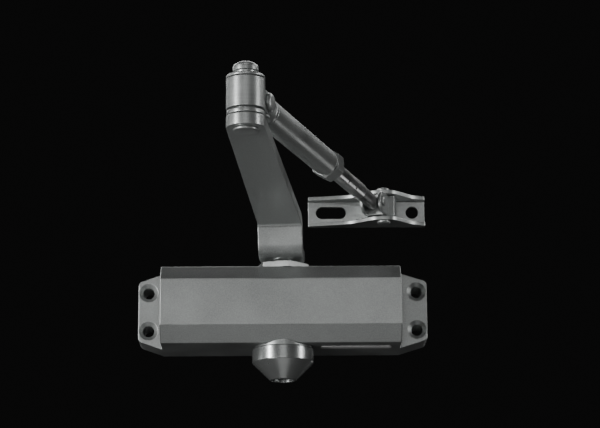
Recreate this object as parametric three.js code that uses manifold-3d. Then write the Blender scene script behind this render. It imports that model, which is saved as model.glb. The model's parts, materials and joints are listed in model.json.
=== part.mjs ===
// Surface-mounted door closer with a folding two-part arm.
// Millimetres. Origin at the centre of the casing's back face, the face that
// goes against the door: X runs along the casing, +Y goes into the door,
// +Z is up, along the spindle.
import * as THREE from 'three';
import { mergeVertices } from 'three/addons/utils/BufferGeometryUtils.js';
import Module from 'manifold-3d';

const wasm = await Module();
wasm.setup();

// ---------------------------------------------------------------------------
// Driving dimensions
// ---------------------------------------------------------------------------
const DEG = Math.PI / 180;

// Casing
const BODY_LEFT = -59.2;
const BODY_RIGHT = 57.4;
const BODY_HALF_HEIGHT = 19;
const BODY_DEPTH = 42;
const BODY_BEVEL = 7.7;
const LUG_DEPTH = 18;
const LUG_REACH = 71.1;
const LUG_HALF_HEIGHT = 13.2;
const LUG_CORNER = { x: 69.6, z: 15.2, curveZ: 14.7 };
const LUG_OVERLAP = 0.5;
const HOLE_X = 66;
const HOLE_Z = 9.5;
const HOLE_RADIUS = 2.8;
const COUNTERSINK_RADIUS = 4.7;
const BORE_Y = -29.5;
const BORE_RADIUS = 9.5;
const PLUG_SEAT_RADIUS = 10.8;
const PLUG_SEAT_DEPTH = 4;
const SPINDLE_Y = -22;
const PINION_CHAMBER_RADIUS = 8;
const PINION_CHAMBER_HALF = 14;
const GLAND_HOLE_RADIUS = 10.6;
const GLAND_HOLE_FLOOR = 12.5;
const GLAND_HOLE_END = 25;
const LOWER_BOSS_RADIUS = 14;
const LOWER_BOSS_HEIGHT = 0.9;
const LOWER_BOSS_ROOT = -12;
const CUT_PAST = 1;
const VALVE_Y = -23.5;
const VALVE_Z = 14.3;
const VALVE_HOLE_RADIUS = 2.55;
const VALVE_HOLE_DEPTH = 13.5;

// End plugs, measured inwards from the casing's end face
const PLUG = {
  face: 0.3, chamfer: 0.6, flange: 10.65, step: 3.9, stem: 9.4, groove: [5.4, 7.2], grooveRadius: 7.7,
  end: 8.5,
};
const PLUG_SOCKET = { flats: 8, depth: 3.2 };
const PLUG_RING = { inwards: 6.3, major: 8.6, minor: 0.7 };

// Speed adjusting screws, measured inwards from the right-hand end face
const SPEED_SCREW = { head: 0.4, headChamfer: 0.35, cone: 9.5, end: 12, radius: 2.45, tip: 1.4 };
const SCREW_SLOT = { half: 0.4, depth: 1.8, reach: 3 };

// Rating label, left blank
const LABEL = { left: 18.5, right: 52.8, front: -25.8, back: -20.6, gap: 0.05, film: 0.2 };

// Rack and pinion
const MODULE = 1;
const PINION_TEETH = 12;
const PRESSURE_ANGLE = 25 * DEG;
const ADDENDUM = 0.9;
const DEDENDUM = 1.15;
const RACK_DEDENDUM = 1.25;
const FLANK_BACKLASH = 0.06;
const PITCH_RADIUS = MODULE * PINION_TEETH / 2;
const GEAR_HALF_WIDTH = 6.3;
const RACK_HALF_WIDTH = 5.9;
const RACK_FIRST_TOOTH = -7;
const RACK_LAST_TOOTH = 2;
const RACK_ROOT_OVERLAP = 0.4;
const PINION_FLANK_STEPS = 4;

// Piston and spring
const PISTON_RADIUS = 9.4;
const PISTON_LEFT = -46;
const PISTON_RIGHT = 13.2;
const RACK_FLAT = { left: -24, right: 8.3, back: -10, half: 12 };
const PISTON_CHAMFER = 0.5;
const PISTON_GROOVE = { left: -42.4, width: 1.6, radius: 7.9 };
const PISTON_RING = { major: 8.75, minor: 0.55 };
const CHECK_POCKET = { radius: 2.6, floor: -38 };
const CHECK_PASSAGE = { radius: 1.2, length: 4, outlet: 2, outletBack: -28 };
const CHECK_BALL = { radius: 2, x: -40.2 };
const CHECK_RETAINER = { inner: 1.2, outer: 2.5, left: -45.4, right: -44.2 };
const SPRING_RADIUS = 7.9;
const SPRING_WIRE = 0.9;
const SPRING_TURNS = 8;
const SPRING_START = 14.3;
const SPRING_END = 47.7;

// Spindle
const SPINDLE_RADIUS = 6.4;
const SPINDLE_SHOULDER = 22.2;
const SPINDLE_NECK_RADIUS = 5.5;
const SPINDLE_SQUARE = 8;
const SPINDLE_SQUARE_START = 24;
const SPINDLE_TOP = 29.2;
const SPINDLE_BOTTOM = -28;
const SPINDLE_TAPPING_RADIUS = 2.6;
const SPINDLE_TAPPING_FLOOR = 14;
const SPINDLE_OVERLAP = 0.3;

// Glands
const GLAND_FLATS = 23.2;
const GLAND_HEX_TOP = 22;
const GLAND_STEM_RADIUS = 10.5;
const GLAND_STEM_FLOOR = 12.8;
const GLAND_POCKET_RADIUS = 8.8;
const GLAND_POCKET_TOP = 20.2;
const GLAND_BORE_RADIUS = 6.5;
const GLAND_TURN = 14 * DEG;
const GLAND_CHAMFER = 0.3;
const GLAND_SEAT_GAP = 0.05;
const BEARING = { inner: 6.5, outer: 8.75, low: 12.9, high: 16.6 };
const SEAL_PROFILE = [
  [6.5, 16.9], [8.7, 16.9], [8.7, 20], [7.8, 20], [7.8, 17.9], [7.3, 17.9], [6.9, 19.4],
  [6.5, 19.2], [6.5, 16.9],
];

// Spindle cover cap
const CAP_RADIUS = 15;
const CAP_TOP = -20.1;
const CAP_EDGE = -26.6;
const CAP_BOTTOM = -35.3;
const CAP_BOTTOM_RADIUS = 6.2;
const CAP_INNER_RADIUS = 13.55;
const CAP_INNER_EDGE = -25.6;
const CAP_HUB = { radius: 6.6, foot: -32.2, roof: -28.6 };
const CAP_RECESS = { floor: -29.8, radius: 5.1, lip: 5.4, rim: 5.7 };

// Main arm: a flat steel strip with a crank at its root
const ARM_TURN = -5 * DEG;
const ARM_LENGTH = 174;
const ARM_THICKNESS = 5;
const ARM_ROOT_BOTTOM = 24.2;
const ARM_BOTTOM = 39.5;
const ARM_ROOT_RADIUS = 11;
const ARM_ROOT_HALF_WIDTH = 10.75;
const ARM_END_RADIUS = 8.15;
const ARM_BEND_RADIUS = 5;
const ARM_BEND_START = 6;
const ARM_BEND_ANGLE = 75 * DEG;
const ARM_WAIST = 20;
const ARM_STRIP_HALF = 14;
const FIT_CLEARANCE = 0.08;
const ARM_WASHER = { inner: 3.2, outer: 5.8, low: 0.3, high: 1.5 };
const ARM_SCREW = {
  gap: 1.6, radius: 5, side: 2.6, crown: 4.2, shoulder: 3.6, top: 3.8, shank: 2.5, socketFlats: 4,
  socketFloor: 1.2,
};

// Elbow
const PIN_RADIUS = 4;
const PIN_HEAD_RADIUS = 5.3;
const PIN_HEAD = { bottom: 1.35, edge: 0.9, chamfer: 0.5 };
const RUNNING_GAP = 0.1;
const RING_CHAMFER = 0.5;
const ELBOW_RING = { radius: 7.95, bottom: 44.8, top: 46.8 };
const SLEEVE = { radius: 8.1, bottom: 47.5, top: 60.5, hub: 6.2, hubBottom: 46.95, chamfer: 0.4 };
const TOP_WASHER = { radius: 8.15, bottom: 60.8, top: 62.1 };
const ELBOW_BUTTON = { radius: 5.4, bottom: 64, side: 65.8, top: 68.4, neck: 4.5 };

// Forearm, measured along its axis from the elbow axis
const LINK_Z = 54;
const LINK_TURN = -19.2 * DEG;
const ELBOW_CROSS = 13;
const ELBOW_EAR = { inner: 3.6, outer: 5.5, radius: 4.8, root: 5 };
const ELBOW_RIVET = { radius: 1.9, headRadius: 4.1, headThickness: 1.8, crown: 3.1, side: 1.1, gap: 0.15 };
const TONGUE = { half: 3.2, radius: 4.2, root: 22 };
const FITTING = { back: 21, backRadius: 4.6, cone: 22.6, end: 36 };
const CROSS_CUT = 12;
const TUBE_RADIUS = 6.15;
const TUBE_BORE = 5;
const TUBE_START = 24.6;
const TUBE_END = 106;
const NUT_FLATS = 12.7;
const NUT_START = 106.3;
const NUT_END = 115.3;
const NUT_CHAMFER = 0.8;
const NUT_STEM_START = 98;
const ROD_RADIUS = 3.95;
const ROD_START = 68;
const ROD_END = 160;
const ROD_DIMPLES = [134, 146];
const ROD_DIMPLE_TURN = 43 * DEG;
const ROD_DIMPLE = [[0, 3.1], [0.9, 3.4], [0.9, 5], [0, 5]];
const ROD_CHAMFER = 0.5;
const ROD_SOCKET = { radius: 2.6, start: 144 };
const EYE_RADIUS = 3.5;
const EYE_STEM = { radius: 2.5, start: 145, gap: 0.3 };
const EYE_NOSE_STEPS = 5;
const LINK_CROSS = 183;

// Swivel block
const CLEVIS = { inner: 3.75, outer: 5.35, nose: 4.6, halfHeight: 5.3 };
const CLEVIS_WEB_START = 187.3;
const CLEVIS_SHOULDER_START = 192.4;
const CLEVIS_END = 196.8;
const CLEVIS_SHOULDER_SIDE = 8.3;
const CLEVIS_PIN_RADIUS = 1.55;
const CLEVIS_PIN_HEAD = { seat: 5.5, radius: 2.2, edge: 5.85, crown: 1.7, end: 6.1 };
const PIVOT_ALONG = 9.5;
const PIVOT_SIDE = 2.7;
const PIVOT_RADIUS = 2.4;
const PIVOT_HEAD = { radius: 3.4, crown: 2.6, edge: 0.7, height: 1.4, gap: 0.1 };

// Bracket
const BRACKET = { left: 13.1, right: 72.1, halfHeight: 7.7, sheet: 2 };
const BRACKET_SLOT = { x: 24.65, length: 15.3, radius: 3.15 };
const BRACKET_HOLE = { x: 65.7, radius: 3.2 };
const BRACKET_CUT = 4;
const FLANGE_STEPS = 24;
const FLANGE_EDGE = [
  [13.1, -4.7], [24, -6.5], [34, -9.2], [41, -14.2], [46, -17.6],
  [50.7, -18.4], [55.4, -17.6], [60, -13.4], [65.5, -8], [72.1, -5],
];

// ---------------------------------------------------------------------------
// Geometry helpers
// ---------------------------------------------------------------------------

// Merges shared corners, drops slivers and makes the faces point outwards.
function closed(geometry) {
  const plain = geometry.clone();
  plain.deleteAttribute('normal');
  plain.deleteAttribute('uv');
  const merged = mergeVertices(plain, 1e-4);
  const points = merged.attributes.position;
  const kept = [];
  let volume = 0;
  const a = new THREE.Vector3();
  const b = new THREE.Vector3();
  const c = new THREE.Vector3();
  for (let i = 0; i < merged.index.count; i += 3) {
    const corner = [0, 1, 2].map((k) => merged.index.getX(i + k));
    if (new Set(corner).size < 3) continue;
    kept.push(...corner);
    a.fromBufferAttribute(points, corner[0]);
    b.fromBufferAttribute(points, corner[1]);
    c.fromBufferAttribute(points, corner[2]);
    volume += a.dot(b.cross(c));
  }
  if (volume < 0) kept.reverse();
  merged.setIndex(kept);
  return merged;
}

function solid(geometry) {
  const shape = closed(geometry);
  return new wasm.Manifold(new wasm.Mesh({
    numProp: 3,
    vertProperties: new Float32Array(shape.attributes.position.array),
    triVerts: new Uint32Array(shape.index.array),
  }));
}

function geometryOf(manifold) {
  const mesh = manifold.getMesh();
  const geometry = new THREE.BufferGeometry();
  geometry.setAttribute('position', new THREE.BufferAttribute(new Float32Array(mesh.vertProperties), 3));
  geometry.setIndex(Array.from(mesh.triVerts));
  return geometry;
}

function join(first, ...others) {
  return others.reduce((sum, other) => sum.add(other), first);
}

function cut(first, ...tools) {
  return tools.reduce((rest, tool) => rest.subtract(tool), first);
}

// A turned body about Z from [radius, z] pairs.
function turned(profile, segments = 24) {
  const points = profile.map(([r, z]) => new THREE.Vector2(r, z));
  const geometry = new THREE.LatheGeometry(points, segments);
  geometry.rotateX(Math.PI / 2);
  return closed(geometry);
}

function rod(radius, low, high, segments = 24) {
  return turned([[0, low], [radius, low], [radius, high], [0, high]], segments);
}

function ring(inner, outer, low, high, segments = 24) {
  return turned([[inner, low], [outer, low], [outer, high], [inner, high], [inner, low]], segments);
}

function torus(major, minor, segments = 18, sides = 6) {
  return closed(new THREE.TorusGeometry(major, minor, sides, segments));
}

function block(x0, x1, y0, y1, z0, z1) {
  const geometry = new THREE.BoxGeometry(x1 - x0, y1 - y0, z1 - z0);
  geometry.translate((x0 + x1) / 2, (y0 + y1) / 2, (z0 + z1) / 2);
  return geometry;
}

// A flat outline in the XY plane, raised along Z.
function plate(shape, low, high, curveSegments = 12) {
  const geometry = new THREE.ExtrudeGeometry(shape, {
    depth: high - low, bevelEnabled: false, curveSegments,
  });
  geometry.translate(0, 0, low);
  return closed(geometry);
}

function polygon(points) {
  return new THREE.Shape(points.map(([x, y]) => new THREE.Vector2(x, y)));
}

function hexPrism(flats, low, high, turn = 0) {
  const reach = flats / Math.sqrt(3);
  const points = [];
  for (let k = 0; k < 6; k += 1) {
    const angle = turn + k * Math.PI / 3;
    points.push([reach * Math.cos(angle), reach * Math.sin(angle)]);
  }
  return plate(polygon(points), low, high);
}

// Turns geometry made along Z so that it runs along +X, +Y or -Y.
function alongX(geometry) {
  return geometry.rotateY(Math.PI / 2);
}

function alongY(geometry) {
  return geometry.rotateX(-Math.PI / 2);
}

function at(geometry, x, y, z) {
  return geometry.translate(x, y, z);
}

// ---------------------------------------------------------------------------
// Materials
// ---------------------------------------------------------------------------
function material(color, roughness, metalness) {
  return new THREE.MeshStandardMaterial({ color, roughness, metalness });
}

const silverPaint = () => material(0x9a9e9c, 0.45, 0.6);
const satinSteel = () => material(0x8c8e8f, 0.4, 0.85);
const zincPlate = () => material(0xb4b6b8, 0.3, 0.9);
const chrome = () => material(0xc8cacc, 0.15, 1);
const darkSteel = () => material(0x5a5c5e, 0.45, 0.9);
const springSteel = () => material(0x6d7073, 0.35, 0.95);
const capPlastic = () => material(0xa3a5a6, 0.4, 0.3);
const blackRubber = () => material(0x161616, 0.8, 0);
const brass = () => material(0xb59a55, 0.35, 0.9);
const labelFilm = () => material(0xd0d2d2, 0.3, 0.1);

const root = new THREE.Group();

function add(parent, name, geometry, finish) {
  const mesh = new THREE.Mesh(geometry, finish);
  mesh.name = name;
  parent.add(mesh);
  return mesh;
}

// ---------------------------------------------------------------------------
// Casing
// ---------------------------------------------------------------------------
function casingBlank() {
  const front = BODY_HALF_HEIGHT - BODY_BEVEL;
  const section = polygon([
    [0, -BODY_HALF_HEIGHT], [0, BODY_HALF_HEIGHT],
    [-BODY_DEPTH + BODY_BEVEL, BODY_HALF_HEIGHT], [-BODY_DEPTH, front],
    [-BODY_DEPTH, -front], [-BODY_DEPTH + BODY_BEVEL, -BODY_HALF_HEIGHT],
  ]);
  const bar = plate(section, BODY_LEFT, BODY_RIGHT);
  const turn = new THREE.Matrix4().makeBasis(
    new THREE.Vector3(0, 1, 0), new THREE.Vector3(0, 0, 1), new THREE.Vector3(1, 0, 0),
  );
  return bar.applyMatrix4(turn);
}

// The plate that carries the four screw holes, with tapered and rounded ends.
function lugPlate() {
  const shape = new THREE.Shape();
  const left = BODY_LEFT + LUG_OVERLAP;
  const right = BODY_RIGHT - LUG_OVERLAP;
  const { x, z, curveZ } = LUG_CORNER;
  shape.moveTo(left, -BODY_HALF_HEIGHT);
  shape.lineTo(right, -BODY_HALF_HEIGHT);
  shape.lineTo(x, -z);
  shape.quadraticCurveTo(LUG_REACH, -curveZ, LUG_REACH, -LUG_HALF_HEIGHT);
  shape.lineTo(LUG_REACH, LUG_HALF_HEIGHT);
  shape.quadraticCurveTo(LUG_REACH, curveZ, x, z);
  shape.lineTo(right, BODY_HALF_HEIGHT);
  shape.lineTo(left, BODY_HALF_HEIGHT);
  shape.lineTo(-x, z);
  shape.quadraticCurveTo(-LUG_REACH, curveZ, -LUG_REACH, LUG_HALF_HEIGHT);
  shape.lineTo(-LUG_REACH, -LUG_HALF_HEIGHT);
  shape.quadraticCurveTo(-LUG_REACH, -curveZ, -x, -z);
  const outline = plate(shape, 0, LUG_DEPTH, 6);
  return outline.rotateX(Math.PI / 2);
}

function screwHole(x, z) {
  const depth = COUNTERSINK_RADIUS - HOLE_RADIUS;
  const profile = [
    [0, -CUT_PAST], [HOLE_RADIUS, -CUT_PAST], [HOLE_RADIUS, LUG_DEPTH - depth],
    [COUNTERSINK_RADIUS, LUG_DEPTH], [COUNTERSINK_RADIUS, LUG_DEPTH + CUT_PAST],
    [0, LUG_DEPTH + CUT_PAST],
  ];
  return at(turned(profile, 32).rotateX(Math.PI / 2), x, 0, z);
}

function closerBody() {
  const left = BODY_LEFT - CUT_PAST;
  const right = BODY_RIGHT + CUT_PAST;
  const boss = rod(LOWER_BOSS_RADIUS, -BODY_HALF_HEIGHT - LOWER_BOSS_HEIGHT, LOWER_BOSS_ROOT, 32);
  const blank = join(
    solid(casingBlank()), solid(lugPlate()), solid(at(boss, 0, SPINDLE_Y, 0)),
  );
  const bore = at(alongX(rod(BORE_RADIUS, left, right)), 0, BORE_Y, 0);
  const leftSeat = at(alongX(rod(PLUG_SEAT_RADIUS, left, BODY_LEFT + PLUG_SEAT_DEPTH)), 0, BORE_Y, 0);
  const rightSeat = at(alongX(rod(PLUG_SEAT_RADIUS, BODY_RIGHT - PLUG_SEAT_DEPTH, right)), 0, BORE_Y, 0);
  const chamber = at(rod(PINION_CHAMBER_RADIUS, -PINION_CHAMBER_HALF, PINION_CHAMBER_HALF), 0, SPINDLE_Y, 0);
  const upperHole = at(rod(GLAND_HOLE_RADIUS, GLAND_HOLE_FLOOR, GLAND_HOLE_END), 0, SPINDLE_Y, 0);
  const lowerHole = at(rod(GLAND_HOLE_RADIUS, -GLAND_HOLE_END, -GLAND_HOLE_FLOOR), 0, SPINDLE_Y, 0);
  const holes = [bore, leftSeat, rightSeat, chamber, upperHole, lowerHole];
  for (const x of [-HOLE_X, HOLE_X]) {
    for (const z of [-HOLE_Z, HOLE_Z]) holes.push(screwHole(x, z));
  }
  for (const z of [-VALVE_Z, VALVE_Z]) {
    const valve = alongX(rod(VALVE_HOLE_RADIUS, BODY_RIGHT - VALVE_HOLE_DEPTH, right, 24));
    holes.push(at(valve, 0, VALVE_Y, z));
  }
  return geometryOf(cut(blank, ...holes.map(solid)));
}

const housing = new THREE.Group();
root.add(housing);
add(housing, 'closer_body', closerBody(), silverPaint());

// ---------------------------------------------------------------------------
// End plugs and their sealing rings
// ---------------------------------------------------------------------------
function endPlug() {
  const plug = PLUG;
  const profile = [
    [0, -plug.end], [plug.stem, -plug.end], [plug.stem, -plug.groove[1]],
    [plug.grooveRadius, -plug.groove[1]], [plug.grooveRadius, -plug.groove[0]],
    [plug.stem, -plug.groove[0]], [plug.stem, -plug.step], [plug.flange, -plug.step],
    [plug.flange, -plug.face - plug.chamfer], [plug.flange - plug.chamfer, -plug.face],
    [0, -plug.face],
  ];
  const socket = hexPrism(PLUG_SOCKET.flats, -PLUG_SOCKET.depth, CUT_PAST, Math.PI / 6);
  return alongX(geometryOf(cut(solid(turned(profile)), solid(socket))));
}

for (const [side, x, turn] of [['right', BODY_RIGHT, 0], ['left', BODY_LEFT, Math.PI]]) {
  const plugSet = new THREE.Group();
  plugSet.position.set(x, BORE_Y, 0);
  plugSet.rotation.set(0, 0, turn);
  housing.add(plugSet);
  add(plugSet, `${side}_end_plug`, endPlug(), satinSteel());
  const sealRing = alongX(torus(PLUG_RING.major, PLUG_RING.minor));
  add(plugSet, `${side}_plug_ring`, sealRing, blackRubber()).position.set(-PLUG_RING.inwards, 0, 0);
}

// ---------------------------------------------------------------------------
// Glands, bearings and spindle seals, the same above and below
// ---------------------------------------------------------------------------
function gland() {
  const reach = GLAND_FLATS / Math.sqrt(3);
  const seat = BODY_HALF_HEIGHT + GLAND_SEAT_GAP;
  const hex = solid(hexPrism(GLAND_FLATS, seat, GLAND_HEX_TOP, GLAND_TURN - Math.PI / 2));
  const chamfer = solid(turned([
    [0, BODY_HALF_HEIGHT], [reach + 1, BODY_HALF_HEIGHT], [reach + 0.1, GLAND_HEX_TOP - GLAND_CHAMFER],
    [GLAND_FLATS / 2 - 0.2, GLAND_HEX_TOP], [0, GLAND_HEX_TOP],
  ]));
  const stem = solid(rod(GLAND_STEM_RADIUS, GLAND_STEM_FLOOR, seat + 0.45));
  const pocket = solid(rod(GLAND_POCKET_RADIUS, GLAND_STEM_FLOOR - CUT_PAST, GLAND_POCKET_TOP));
  const bore = solid(rod(GLAND_BORE_RADIUS, GLAND_STEM_FLOOR - CUT_PAST, GLAND_HEX_TOP + CUT_PAST));
  return geometryOf(cut(join(hex.intersect(chamfer), stem), pocket, bore));
}

function bearing() {
  return ring(BEARING.inner, BEARING.outer, BEARING.low, BEARING.high);
}

function spindleSeal() {
  return turned(SEAL_PROFILE);
}

const upperSet = new THREE.Group();
upperSet.position.set(0, SPINDLE_Y, 0);
housing.add(upperSet);
add(upperSet, 'upper_gland_nut', gland(), zincPlate());
add(upperSet, 'upper_bearing', bearing(), brass());
add(upperSet, 'upper_spindle_seal', spindleSeal(), blackRubber());

const lowerSet = new THREE.Group();
lowerSet.position.set(0, SPINDLE_Y, -LOWER_BOSS_HEIGHT);
lowerSet.rotation.set(Math.PI, 0, 0);
housing.add(lowerSet);
add(lowerSet, 'lower_gland_nut', gland(), zincPlate());
add(lowerSet, 'lower_bearing', bearing(), brass());
add(lowerSet, 'lower_spindle_seal', spindleSeal(), blackRubber());

// ---------------------------------------------------------------------------
// Spindle cover cap: a hollow cup with a recessed centre
// ---------------------------------------------------------------------------
function coverCap() {
  return turned([
    [CAP_INNER_RADIUS, CAP_TOP],
    [CAP_INNER_RADIUS, CAP_INNER_EDGE],
    [CAP_HUB.radius, CAP_HUB.foot],
    [CAP_HUB.radius, CAP_HUB.roof],
    [0, CAP_HUB.roof],
    [0, CAP_RECESS.floor],
    [CAP_RECESS.radius, CAP_RECESS.floor],
    [CAP_RECESS.lip, CAP_BOTTOM + 0.2],
    [CAP_RECESS.rim, CAP_BOTTOM],
    [CAP_BOTTOM_RADIUS, CAP_BOTTOM],
    [CAP_BOTTOM_RADIUS + 0.5, CAP_BOTTOM + 0.35],
    [CAP_RADIUS - 0.35, CAP_EDGE - 0.35],
    [CAP_RADIUS, CAP_EDGE],
    [CAP_RADIUS, CAP_TOP - 0.4],
    [CAP_RADIUS - 0.4, CAP_TOP],
    [CAP_INNER_RADIUS, CAP_TOP],
  ], 32);
}
add(housing, 'spindle_cover_cap', coverCap(), capPlastic()).position.set(0, SPINDLE_Y, 0);

// Blank rating label on the underside
const labelHigh = -BODY_HALF_HEIGHT - LABEL.gap;
const label = block(LABEL.left, LABEL.right, LABEL.front, LABEL.back, labelHigh - LABEL.film, labelHigh);
add(housing, 'blank_label', label, labelFilm());

// ---------------------------------------------------------------------------
// Speed adjusting screws in the right-hand end
// ---------------------------------------------------------------------------
function speedScrew() {
  const screw = SPEED_SCREW;
  const slot = SCREW_SLOT;
  const profile = [
    [0, -screw.end], [screw.tip, -screw.end], [screw.radius, -screw.cone],
    [screw.radius, -screw.head - screw.headChamfer], [screw.radius - screw.headChamfer, -screw.head],
    [0, -screw.head],
  ];
  const tool = block(-slot.half, slot.half, -slot.reach, slot.reach, -slot.depth, CUT_PAST);
  return alongX(geometryOf(cut(solid(turned(profile, 24)), solid(tool))));
}
add(root, 'closing_speed_screw', speedScrew(), brass()).position.set(BODY_RIGHT, VALVE_Y, VALVE_Z);
add(root, 'latching_speed_screw', speedScrew(), brass()).position.set(BODY_RIGHT, VALVE_Y, -VALVE_Z);

// ---------------------------------------------------------------------------
// Piston with its rack, in mesh with the pinion at rest
// ---------------------------------------------------------------------------
function rackTooth(index) {
  const pitch = Math.PI * MODULE;
  const half = pitch / 4 - FLANK_BACKLASH;
  const slope = Math.tan(PRESSURE_ANGLE);
  const rise = ADDENDUM;
  const fall = RACK_DEDENDUM + RACK_ROOT_OVERLAP;
  const x = index * pitch;
  const outline = polygon([
    [x - half - fall * slope, -PITCH_RADIUS - fall], [x + half + fall * slope, -PITCH_RADIUS - fall],
    [x + half - rise * slope, -PITCH_RADIUS + rise], [x - half + rise * slope, -PITCH_RADIUS + rise],
  ]);
  return plate(outline, -RACK_HALF_WIDTH, RACK_HALF_WIDTH);
}

function piston() {
  const groove = PISTON_GROOVE;
  const grooveEnd = groove.left + groove.width;
  const body = alongX(turned([
    [0, PISTON_LEFT], [PISTON_RADIUS - PISTON_CHAMFER, PISTON_LEFT],
    [PISTON_RADIUS, PISTON_LEFT + PISTON_CHAMFER],
    [PISTON_RADIUS, groove.left], [groove.radius, groove.left], [groove.radius, grooveEnd],
    [PISTON_RADIUS, grooveEnd], [PISTON_RADIUS, PISTON_RIGHT - PISTON_CHAMFER],
    [PISTON_RADIUS - PISTON_CHAMFER, PISTON_RIGHT], [0, PISTON_RIGHT],
  ], 36));
  const rackRoot = SPINDLE_Y - PITCH_RADIUS - RACK_DEDENDUM;
  const level = RACK_FLAT;
  const flat = block(level.left, level.right, rackRoot, level.back, -level.half, level.half);
  const pocket = alongX(rod(CHECK_POCKET.radius, PISTON_LEFT - CUT_PAST, CHECK_POCKET.floor, 24));
  const way = CHECK_PASSAGE;
  const passageEnd = RACK_FLAT.left + way.length;
  const passage = alongX(rod(way.radius, CHECK_POCKET.floor - CUT_PAST, passageEnd, 16));
  const outletEnd = RACK_FLAT.left + way.outlet;
  const passageUp = block(RACK_FLAT.left, outletEnd, BORE_Y, way.outletBack, -way.radius, way.radius);
  let rack = cut(
    solid(at(body, 0, BORE_Y, 0)), solid(flat), solid(at(pocket, 0, BORE_Y, 0)),
    solid(at(passage, 0, BORE_Y, 0)), solid(passageUp),
  );
  for (let index = RACK_FIRST_TOOTH; index <= RACK_LAST_TOOTH; index += 1) {
    rack = rack.add(solid(at(rackTooth(index), 0, SPINDLE_Y, 0)));
  }
  return geometryOf(rack);
}

const pistonSet = new THREE.Group();
root.add(pistonSet);
add(pistonSet, 'piston', piston(), darkSteel());
const grooveMiddle = PISTON_GROOVE.left + PISTON_GROOVE.width / 2;
add(pistonSet, 'piston_ring', alongX(torus(PISTON_RING.major, PISTON_RING.minor)), blackRubber())
  .position.set(grooveMiddle, BORE_Y, 0);
add(pistonSet, 'check_ball', closed(new THREE.SphereGeometry(CHECK_BALL.radius, 14, 8)), chrome())
  .position.set(CHECK_BALL.x, BORE_Y, 0);
const retainer = ring(CHECK_RETAINER.inner, CHECK_RETAINER.outer, CHECK_RETAINER.left, CHECK_RETAINER.right);
add(pistonSet, 'check_ball_retainer', alongX(retainer), brass()).position.set(0, BORE_Y, 0);

// Closing spring between the piston and the right-hand plug
class SpringPath extends THREE.Curve {
  getPoint(t, target = new THREE.Vector3()) {
    const angle = t * SPRING_TURNS * 2 * Math.PI;
    const x = SPRING_START + t * (SPRING_END - SPRING_START);
    return target.set(x, SPRING_RADIUS * Math.cos(angle), SPRING_RADIUS * Math.sin(angle));
  }
}

function closingSpring() {
  const section = new THREE.Shape();
  section.absarc(0, 0, SPRING_WIRE, 0, 2 * Math.PI, false);
  return closed(new THREE.ExtrudeGeometry(section, {
    steps: SPRING_TURNS * 10, curveSegments: 3, bevelEnabled: false, extrudePath: new SpringPath(),
  }));
}
add(housing, 'closing_spring', closingSpring(), springSteel()).position.set(0, BORE_Y, 0);

// ---------------------------------------------------------------------------
// Pinion spindle: teeth in the middle, the same journals and squares both ways
// ---------------------------------------------------------------------------
function pinionOutline() {
  const baseRadius = PITCH_RADIUS * Math.cos(PRESSURE_ANGLE);
  const tipRadius = PITCH_RADIUS + ADDENDUM;
  const rootRadius = PITCH_RADIUS - DEDENDUM;
  const involute = (radius) => {
    const angle = Math.acos(Math.min(1, baseRadius / radius));
    return Math.tan(angle) - angle;
  };
  const atPitch = Math.PI / (2 * PINION_TEETH) - FLANK_BACKLASH / PITCH_RADIUS;
  const halfAngle = (radius) => atPitch + involute(PITCH_RADIUS) - involute(Math.max(radius, baseRadius));
  const radii = [rootRadius, baseRadius];
  for (let k = 1; k <= PINION_FLANK_STEPS; k += 1) {
    radii.push(baseRadius + (tipRadius - baseRadius) * k / PINION_FLANK_STEPS);
  }
  const pitchAngle = 2 * Math.PI / PINION_TEETH;
  const points = [];
  for (let tooth = 0; tooth < PINION_TEETH; tooth += 1) {
    const middle = -Math.PI / 2 + pitchAngle * (tooth + 0.5);
    for (const r of radii) {
      points.push([r * Math.cos(middle - halfAngle(r)), r * Math.sin(middle - halfAngle(r))]);
    }
    for (const r of [...radii].reverse()) {
      points.push([r * Math.cos(middle + halfAngle(r)), r * Math.sin(middle + halfAngle(r))]);
    }
  }
  return polygon(points);
}

function pinionShaft() {
  const teeth = solid(plate(pinionOutline(), -GEAR_HALF_WIDTH, GEAR_HALF_WIDTH));
  const half = SPINDLE_SQUARE / 2;
  const start = GEAR_HALF_WIDTH - SPINDLE_OVERLAP;
  const upper = turned([
    [0, start], [SPINDLE_RADIUS, start], [SPINDLE_RADIUS, SPINDLE_SHOULDER],
    [SPINDLE_NECK_RADIUS, SPINDLE_SQUARE_START], [0, SPINDLE_SQUARE_START],
  ]);
  const lower = turned([
    [0, -SPINDLE_SQUARE_START], [SPINDLE_NECK_RADIUS, -SPINDLE_SQUARE_START],
    [SPINDLE_RADIUS, -SPINDLE_SHOULDER], [SPINDLE_RADIUS, -start], [0, -start],
  ]);
  const square = block(-half, half, -half, half, SPINDLE_BOTTOM, SPINDLE_TOP);
  const tapping = rod(SPINDLE_TAPPING_RADIUS, SPINDLE_TAPPING_FLOOR, SPINDLE_TOP + CUT_PAST, 24);
  return geometryOf(cut(join(teeth, solid(upper), solid(lower), solid(square)), solid(tapping)));
}

const armSet = new THREE.Group();
armSet.position.set(0, SPINDLE_Y, 0);
root.add(armSet);
add(armSet, 'pinion_spindle', pinionShaft(), zincPlate());

// ---------------------------------------------------------------------------
// Main arm, made along -Y from the spindle and turned with its group
// ---------------------------------------------------------------------------
const turnedArm = new THREE.Group();
turnedArm.rotation.set(0, 0, ARM_TURN);
armSet.add(turnedArm);

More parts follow.
